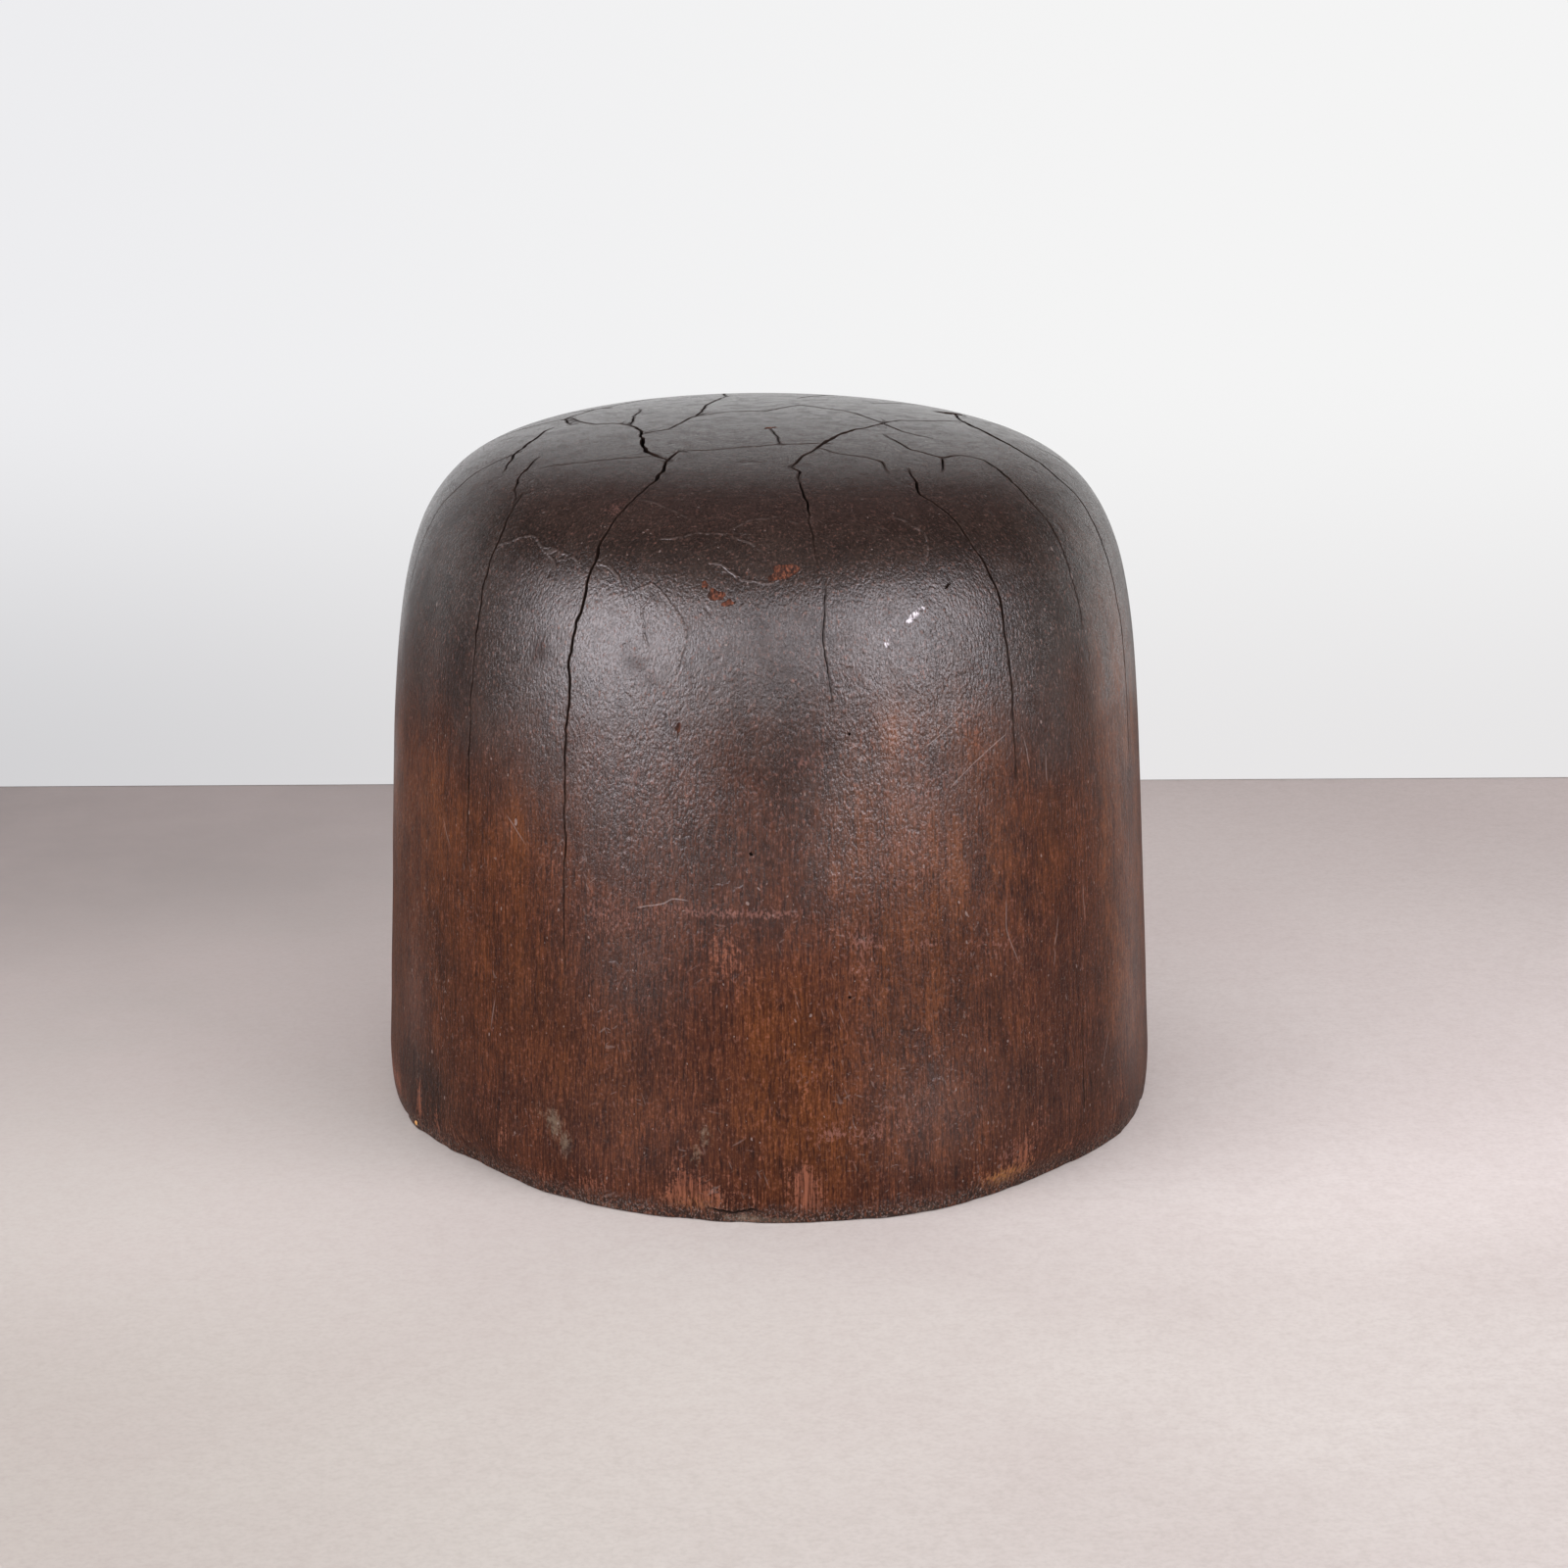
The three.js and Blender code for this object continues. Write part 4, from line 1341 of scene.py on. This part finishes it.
DULL = (
    (-76, 88, 9, 34, 1.0), (-60, 100, 6, 14, 0.4), (46, 96, 5, 16, 0.5), (22, 112, 5, 9, 0.1),
    (76, 95, 9, 30, 0.6), (-42.5, 109.7, 1.6, 2.5, 0.7), (-26.5, 110.3, 2.0, 1.6, 0.5),
    (-24, 107.4, 1.5, 1.2, 0.4),
)
RUBS = (
    (-12.5, 52, 3, 6, 0.55), (-15, 56, 2, 4, 0.4), (15.5, 108, 2.5, 2.5, 0.45), (23, 98.6, 3.5, 4, 0.45),
    (14, 94, 5, 3.5, 0.4), (25, 92, 3, 3, 0.4), (6.5, 95, 2, 4, 0.35), (5, 86, 2, 5, 0.35),
    (-8, 41, 3, 9, 0.35), (-39, 68, 2, 3, 0.6), (-36, 55, 1.5, 3, 0.5), (-47, 73, 2, 2, 0.6),
    (-27, 61, 5, 2, 0.35), (-2, 27, 2, 9, 0.35),
)
SCUFFS = (
    (-18.5, 62.3, 4.5, 0.7, 1.0), (-12, 62.6, 4, 0.5, 1.0), (-6, 62.8, 3.5, 0.6, 0.8), (-30, 60, 6, 3, 0.5),
    (5, 58, 1.6, 1.4, 0.7), (7, 56.5, 2.4, 0.8, 1.0), (6, 52, 1.2, 5, 0.5), (15, 54.4, 2.4, 0.7, 0.9),
    (27, 51.4, 5, 0.8, 0.9), (1.2, 18.4, 2.2, 1.2, 1.1), (6, 17.5, 3, 1.2, 0.6), (11, 20, 6, 5, 0.3),
    (-36.5, 136, 1.4, 0.9, 0.8), (-2, 92, 3, 2, 0.4), (14, 84, 5, 1.2, 0.5), (20, 88, 5, 1, 0.5),
    (-24, 86, 6, 8, 0.2), (12, 74, 7, 9, 0.35), (28, 8, 2, 2, 0.6),
)
RAW = (
    (-17, 4, 5, 3.5, 1.0), (-18.5, 8, 2.4, 3.5, 0.8), (-2, 4, 2.2, 4, 1.0), (-2.6, 9, 1.6, 3, 1.0),
    (-9, 3, 1.2, 3, 0.5), (28, 3.4, 5, 2.6, 1.0), (31, 8, 1.8, 4, 0.7), (34, 13, 0.8, 4, 0.6),
    (40, 4, 3, 2, 0.5), (-33, 3, 3, 3, 0.7), (-69.5, 7, 0.9, 7, 0.9), (-64, 4, 0.8, 4, 0.8),
    (-59, 2.5, 2, 3, 0.6), (-48, 9, 0.8, 4, 0.5), (-41, 3, 2, 2, 0.5), (56, 9, 1, 4, 0.5),
    (8, 2, 3, 1.2, 0.6),
)
OCHRES = ((27, 3, 4, 2.4, 1.0), (36, 4, 3, 2, 0.6), (-17, 3, 5, 2, 0.25))
LINED = (
    (5, 84, 4, 22, 1.0), (2, 66, 4, 14, 0.7), (16, 60, 10, 22, 0.5), (35, 60, 12, 30, 0.45),
    (62, 62, 12, 45, 1.0), (8, 30, 12, 16, 0.55), (30, 30, 12, 16, 0.4), (-52, 60, 12, 30, 0.3),
    (-12, 50, 4, 10, 0.6), (-72, 50, 8, 40, 0.6), (20, 100, 11, 18, 0.85), (-16, 88, 8, 12, 0.4),
)
SMEARS = (
    (-38.6, 15.5, 1.2, 3.4, 1.0), (-36.6, 11.5, 0.9, 3, 1.0), (-16.0, 18, 1.0, 3, 0.8),
    (-17.4, 13.5, 0.8, 2.4, 0.8), (-41, 17, 1.6, 1.6, 0.5),
)
EDGES = ((-11, 0.8, 2.0, 0.7, 0.9), (-6, 0.5, 2, 0.4, 0.4), (-30, 0.6, 2, 0.4, 0.2), (14, 0.7, 2, 0.4, 0.2))

# Each mask: the patches of the front, and for the back a seed, how many, and between what limits the
# height, the two reaches and the strength lie.
PATCHES = {
    "warm": (WARM, 1, 30, (12, 92), (5, 11), (9, 22), (0.35, 0.75)),
    "dense": (DENSE_PLACES, 2, 16, (8, 100), (2, 9), (6, 16), (0.3, 0.6)),
    "polish": (POLISH, 6, 10, (70, 95), (8, 16), (14, 24), (0.4, 0.9)),
    "dull": (DULL, 7, 8, (70, 110), (5, 10), (10, 25), (0.3, 0.7)),
    "rub": (RUBS, 3, 14, (25, 80), (1.5, 4), (2, 7), (0.4, 1)),
    "scuff": (SCUFFS, 8, 24, (12, 95), (2, 6), (0.6, 4), (0.3, 0.7)),
    "raw": (RAW, 4, 26, (1, 8), (1, 4), (2, 5), (0.6, 1)),
    "lined": (LINED, 11, 20, (20, 95), (8, 14), (14, 30), (0.3, 0.8)),
    "ochre": (OCHRES, 9, 7, (1, 4), (3, 5), (2, 3), (0.4, 0.9)),
    "smear": (SMEARS, 5, 7, (8, 40), (0.7, 1.4), (2, 4), (0.7, 1)),
    "edge": (EDGES, 10, 8, (0.4, 0.9), (1, 3), (0.5, 0.9), (0.4, 1)),
}
UNSEEN = (78, 282)  # the bearings of the sides and the back

# %% [markdown]
# ## From patches to masks
# A patch is a soft oval hill. The sum of a mask's patches at each vertex is stored on the mesh under
# the name that the lacquered wood asks for.


# %% Store the masks
def back_patches(seed, count, *limits):
    """Patches at seeded places on the sides and the back."""
    rng = np.random.default_rng(seed)
    bearings = rng.uniform(*UNSEEN, count)
    return [(bearing, *(rng.uniform(*pair) for pair in limits)) for bearing in bearings]


def patchwork(bearing, height, patches):
    """The sum of soft oval patches, held at 1. Each fades with the square of the distance from its
    middle, measured in its own reach."""
    total = np.zeros(len(bearing))
    for at, level, wide, tall, strength in patches:
        total += strength * hill(turned_by(bearing, at), 0, wide) * hill(height, level, tall)
    return np.clip(total, 0, 1)


def store(mesh, name, values):
    mesh.attributes.new(name, "FLOAT", "POINT").data.foreach_set("value", values.astype(np.float32))


points = np.zeros(len(solid.vertices) * 3, np.float32)
solid.vertices.foreach_get("co", points)
points = points.reshape(-1, 3).astype(float)
bearings = bearing_of(points)
heights = points[:, 2] / MM
for name in MASKS:
    front, *back = PATCHES[name]
    patches = [*front, *back_patches(*back)]
    values = patchwork(bearings, heights, patches)
    store(solid, name, values)
    print(f"{name}: {len(patches)} patches, {np.mean(values > 0.3):.1%} of the vertices")

# %% [markdown]
# ## Lines on the block
# The lacquer has crazed in short raised ridges under the shoulder, and there are a few light scratches. They
# are finer than the mesh, so the mesh holds their signed distance instead, and the shader draws them as
# sharp as it likes. The checks get the same, for the dirt and the painted shade along their lips.

# %% Ridges, scratches and the lips of the checks
RIDGES = (
    ((-24, 67), (-18, 65), (-13, 66), (-9, 68)), ((-15, 72), (-11, 75), (-7, 76), (-5, 75)),
    ((-34, 74), (-31, 76), (-30, 78)), ((-56, 74), (-50, 71), (-46, 73), (-39, 74)),
    ((-31, 57), (-26, 59), (-22, 61)), ((-27, 78), (-25, 77), (-24, 78), (-21, 81), (-19, 85), (-20, 92)),
    ((-46, 73), (-43, 76), (-42, 79)), ((-12, 63), (-6, 60), (-2, 62)), ((-24, 78), (-26, 82), (-25, 88)),
    ((18, 63), (21, 67), (20, 72)), ((92, 66), (99, 68), (108, 66)), ((146, 68), (138, 71), (129, 70)),
    ((-168, 70), (-160, 68), (-151, 71)), ((-112, 64), (-104, 67), (-97, 66)),
)
SCRATCHES = (
    ((-24.5, 139.6), (-21.8, 138.8), (-20.4, 137.3), (-19.3, 137.6)),
    ((28.5, 144), (28.3, 148), (29.1, 151), (30, 153.5)), ((38.6, 150.6), (38.1, 153)),
    ((45, 146), (45.2, 149.5)), ((-46.6, 127.6), (-45, 129.8)), ((-50, 167), (-50.3, 169.5)),
    ((16.5, 108.2), (18.5, 106.5), (21, 104.1)), ((20.5, 116.3), (24, 113), (28.5, 109.6)),
    ((38.3, 153.5), (37.9, 157)), ((50, 183), (51, 180)), ((-62, 134), (-61.2, 136)),
    ((33, 112), (33.4, 115)), ((37, 117), (37, 119)), ((100, 128), (104, 134)), ((150, 112), (149, 117)),
    ((-145, 132), (-139, 133)), ((-98, 151), (-97, 156)), ((176, 96), (173, 100)),
)
LINE_REACH = 4 * MM
FAR_AWAY = 9.0


def poor(gap, on):
    """How poor a line is for a vertex: its distance in mm, and 3 more where the line isn't on."""
    return np.abs(gap) + 3 * (on <= 0)


def beside_lines(lines, seed, shake):
    """For each vertex, the signed distance in mm to the nearest line, and 1 where a line is near and
    0 beyond it. A vertex takes the closest point of the route, and its gap is split into the part
    across the route, which is the signed distance, and the part along it, which fades past the ends."""
    side = np.full(len(points), FAR_AWAY)
    shown = np.zeros(len(points))
    for n, places in enumerate(lines):
        b, s, width = fine_route(places, seed + 10 * n, shake)
        route, up = on_block(b, s), outward(b, s)
        along = unit(np.gradient(route, axis=0))
        aside = unit(np.cross(up, along))
        low, high = route.min(0) - LINE_REACH, route.max(0) + LINE_REACH
        near = np.flatnonzero(((points > low) & (points < high)).all(1))
        gap = points[near, None] - route[None]
        far = np.linalg.norm(gap, axis=2)
        k = far.argmin(1)
        rows = np.arange(len(near))
        gap, far = gap[rows, k], far[rows, k]
        across = (gap * aside[k]).sum(1) / MM
        past = np.abs((gap * along[k]).sum(1)) / MM
        wide_enough = np.clip(0.3 + 1.6 * width[k], 0, 1)
        on = np.clip(2.6 - far / MM, 0, 1) * np.clip(2 - past, 0, 1) * wide_enough
        better = (far < LINE_REACH) & (poor(across, on) < poor(side[near], shown[near]))
        side[near[better]] = across[better]
        shown[near[better]] = on[better]
    return side, shown


for name, lines, seed, shake in (
    ("ridge", RIDGES, 700, 1.6),
    ("scratch", SCRATCHES, 800, 0.25),
    ("check", [check[0] for check in CHECKS], 0, 1.0),
):
    side, shown = beside_lines(lines, seed, shake)
    store(solid, name, side)
    store(solid, name + "_on", shown)
    print(f"{name}: {len(lines)} lines, {np.count_nonzero(shown)} vertices near one")

# %% [markdown]
# ## A splinter
# At the foot on the left a splinter has been torn loose, and shows the yellow wood inside. It is a
# thin spindle that lies along the edge, with a bend in it.

# %% Splinter
SPLINTER_BEARING = -71
SPLINTER_HEIGHT = 1.0 * MM
SPLINTER_HALF_LENGTH = 1.7 * MM
SPLINTER_THICKNESS = 0.55 * MM
SPLINTER_BEND = 0.35 * MM
YELLOW_DARK, YELLOW_LIGHT = (0.36, 0.16, 0.045), (0.66, 0.36, 0.11)


def raw_splinter(place):
    fibre = remap(use(GRAIN, place)["Fibre"], 0.35, 0.65)
    return dict(relief=fibre * 0.06, Base_Color=blended(fibre, YELLOW_DARK, YELLOW_LIGHT), Roughness=0.7)


def splinter_shape():
    """Rings round a bent line: each ring is a circle squashed to half its width, and its size follows
    a half sine from one end to the other, roughened by the noise."""
    b = math.radians(SPLINTER_BEARING)
    middle = on_block(SPLINTER_BEARING, FOOT_DISTANCE - SPLINTER_HEIGHT)
    along = unit(np.array([math.cos(b), STRETCH * math.sin(b), 0.25]))
    up = np.array([math.sin(b), -math.cos(b), 0.0])
    side = np.cross(up, along)
    t = np.linspace(0.06, 0.94, 9)[:, None]
    a = np.linspace(0, 2 * math.pi, 12, endpoint=False)
    line = middle + along * ((2 * t - 1) * SPLINTER_HALF_LENGTH) + up * (SPLINTER_BEND * np.sin(2.4 * t))
    rough = soft_noise(np.stack(np.broadcast_arrays(3 * t, a, 0.0), -1), 0.8, 21)
    size = SPLINTER_THICKNESS * np.sin(math.pi * t) ** 0.7 * (1 + 0.35 * rough)
    flat, deep = (size * np.cos(a))[..., None] * up * 0.5, (size * np.sin(a))[..., None] * side
    return closed_shape(line[:, None] + flat + deep, line[0] - along * 0.2 * MM, line[-1] + along * 0.3 * MM)


shape = splinter_shape()
splinter = link("foot_splinter", build_mesh("foot_splinter", [shape]))
splinter.data.materials.append(finished(raw_splinter))
splinter.data.shade_smooth()
print("splinter volume in cubic mm:", round(volume_of(shape) / MM**3, 2))

# %% [markdown]
# ## The iron and the screws
# The socket's flange is sand cast: its skin has a fine orange-peel grain with rust in the low places,
# and the bore and the face are rubbed bright by the spindle. The screws are plain steel, dull, with
# some rust and with dirt in their slots. Both are the CAD solids themselves, and get only a finish.

# %% Materials: cast iron and screw steel
IRON_DARK, IRON_LIGHT, IRON_BRIGHT = (0.030, 0.026, 0.023), (0.070, 0.062, 0.056), (0.20, 0.19, 0.18)
STEEL_DARK, STEEL_LIGHT, STEEL_DIRT = (0.21, 0.19, 0.17), (0.36, 0.34, 0.31), (0.022, 0.018, 0.015)
IRON_RUST, STEEL_RUST = (0.120, 0.042, 0.018), (0.110, 0.048, 0.024)


def cast_iron_skin(place):
    sand, clouds = noise(place, 900, 4, 0.65), noise(place, 70, 5, 0.65)
    rust = remap(clouds, 0.50, 0.66)
    rubbed = remap(clouds * 0.006 + from_axis(place), 0.0165, 0.0205, 0.8, 0)
    colour = layered(
        blended(remap(sand, 0.3, 0.7), IRON_DARK, IRON_LIGHT),
        (rust * 0.75, IRON_RUST),
        (rubbed, IRON_BRIGHT),
    )
    return dict(relief=rust * 0.05 + sand * 0.12, Base_Color=colour, Metallic=rust * -0.7 + 0.85,
                Roughness=rust * 0.25 + 0.55 + rubbed * -0.2)


def dull_screw_steel(place):
    scuffs, clouds = noise(place, 1600, 3, 0.6, 1.5), noise(place, 260, 4, 0.6)
    deep = remap(parts_of(place)["Z"], 0.0013, 0.0019)
    colour = layered(
        blended(remap(scuffs, 0.35, 0.65), STEEL_DARK, STEEL_LIGHT),
        (remap(clouds, 0.50, 0.64, 0, 0.8), STEEL_RUST),
        (deep * 0.85, STEEL_DIRT),
    )
    return dict(relief=scuffs * 0.03, Base_Color=colour, Roughness=remap(scuffs, 0.3, 0.7, 0.35, 0.6),
                Metallic=remap(clouds, 0.45, 0.65, 0.95, 0.4))


IRON, STEEL = finished(cast_iron_skin), finished(dull_screw_steel)
for name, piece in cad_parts.items():
    for slot in piece.material_slots:
        slot.material = IRON if name == "socket_flange" else STEEL
print("finished:", IRON.name, "and", STEEL.name)

# %% [markdown]
# ## Joining the frame
# Nothing moves on a block, so every piece rides on the one body. The dressed wood stands for the plain
# solid, which isn't shown any more. Last, the box is measured again and printed beside the first.
# Last, the box is measured again: it may not have grown.

# %% Ride, replace, measure
for piece in (block, splinter):
    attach(piece, "root")
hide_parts("block_body")
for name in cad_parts:
    if name != "block_body":
        "cast_iron" if name == "socket_flange" else "screw_steel"
final_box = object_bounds()
sizes = {"cad": [list(corner) for corner in CAD_BOX], "visual": [list(corner) for corner in final_box]}
print("sizes in mm:", {k: [[round(x / MM, 2) for x in c] for c in v] for k, v in sizes.items()})
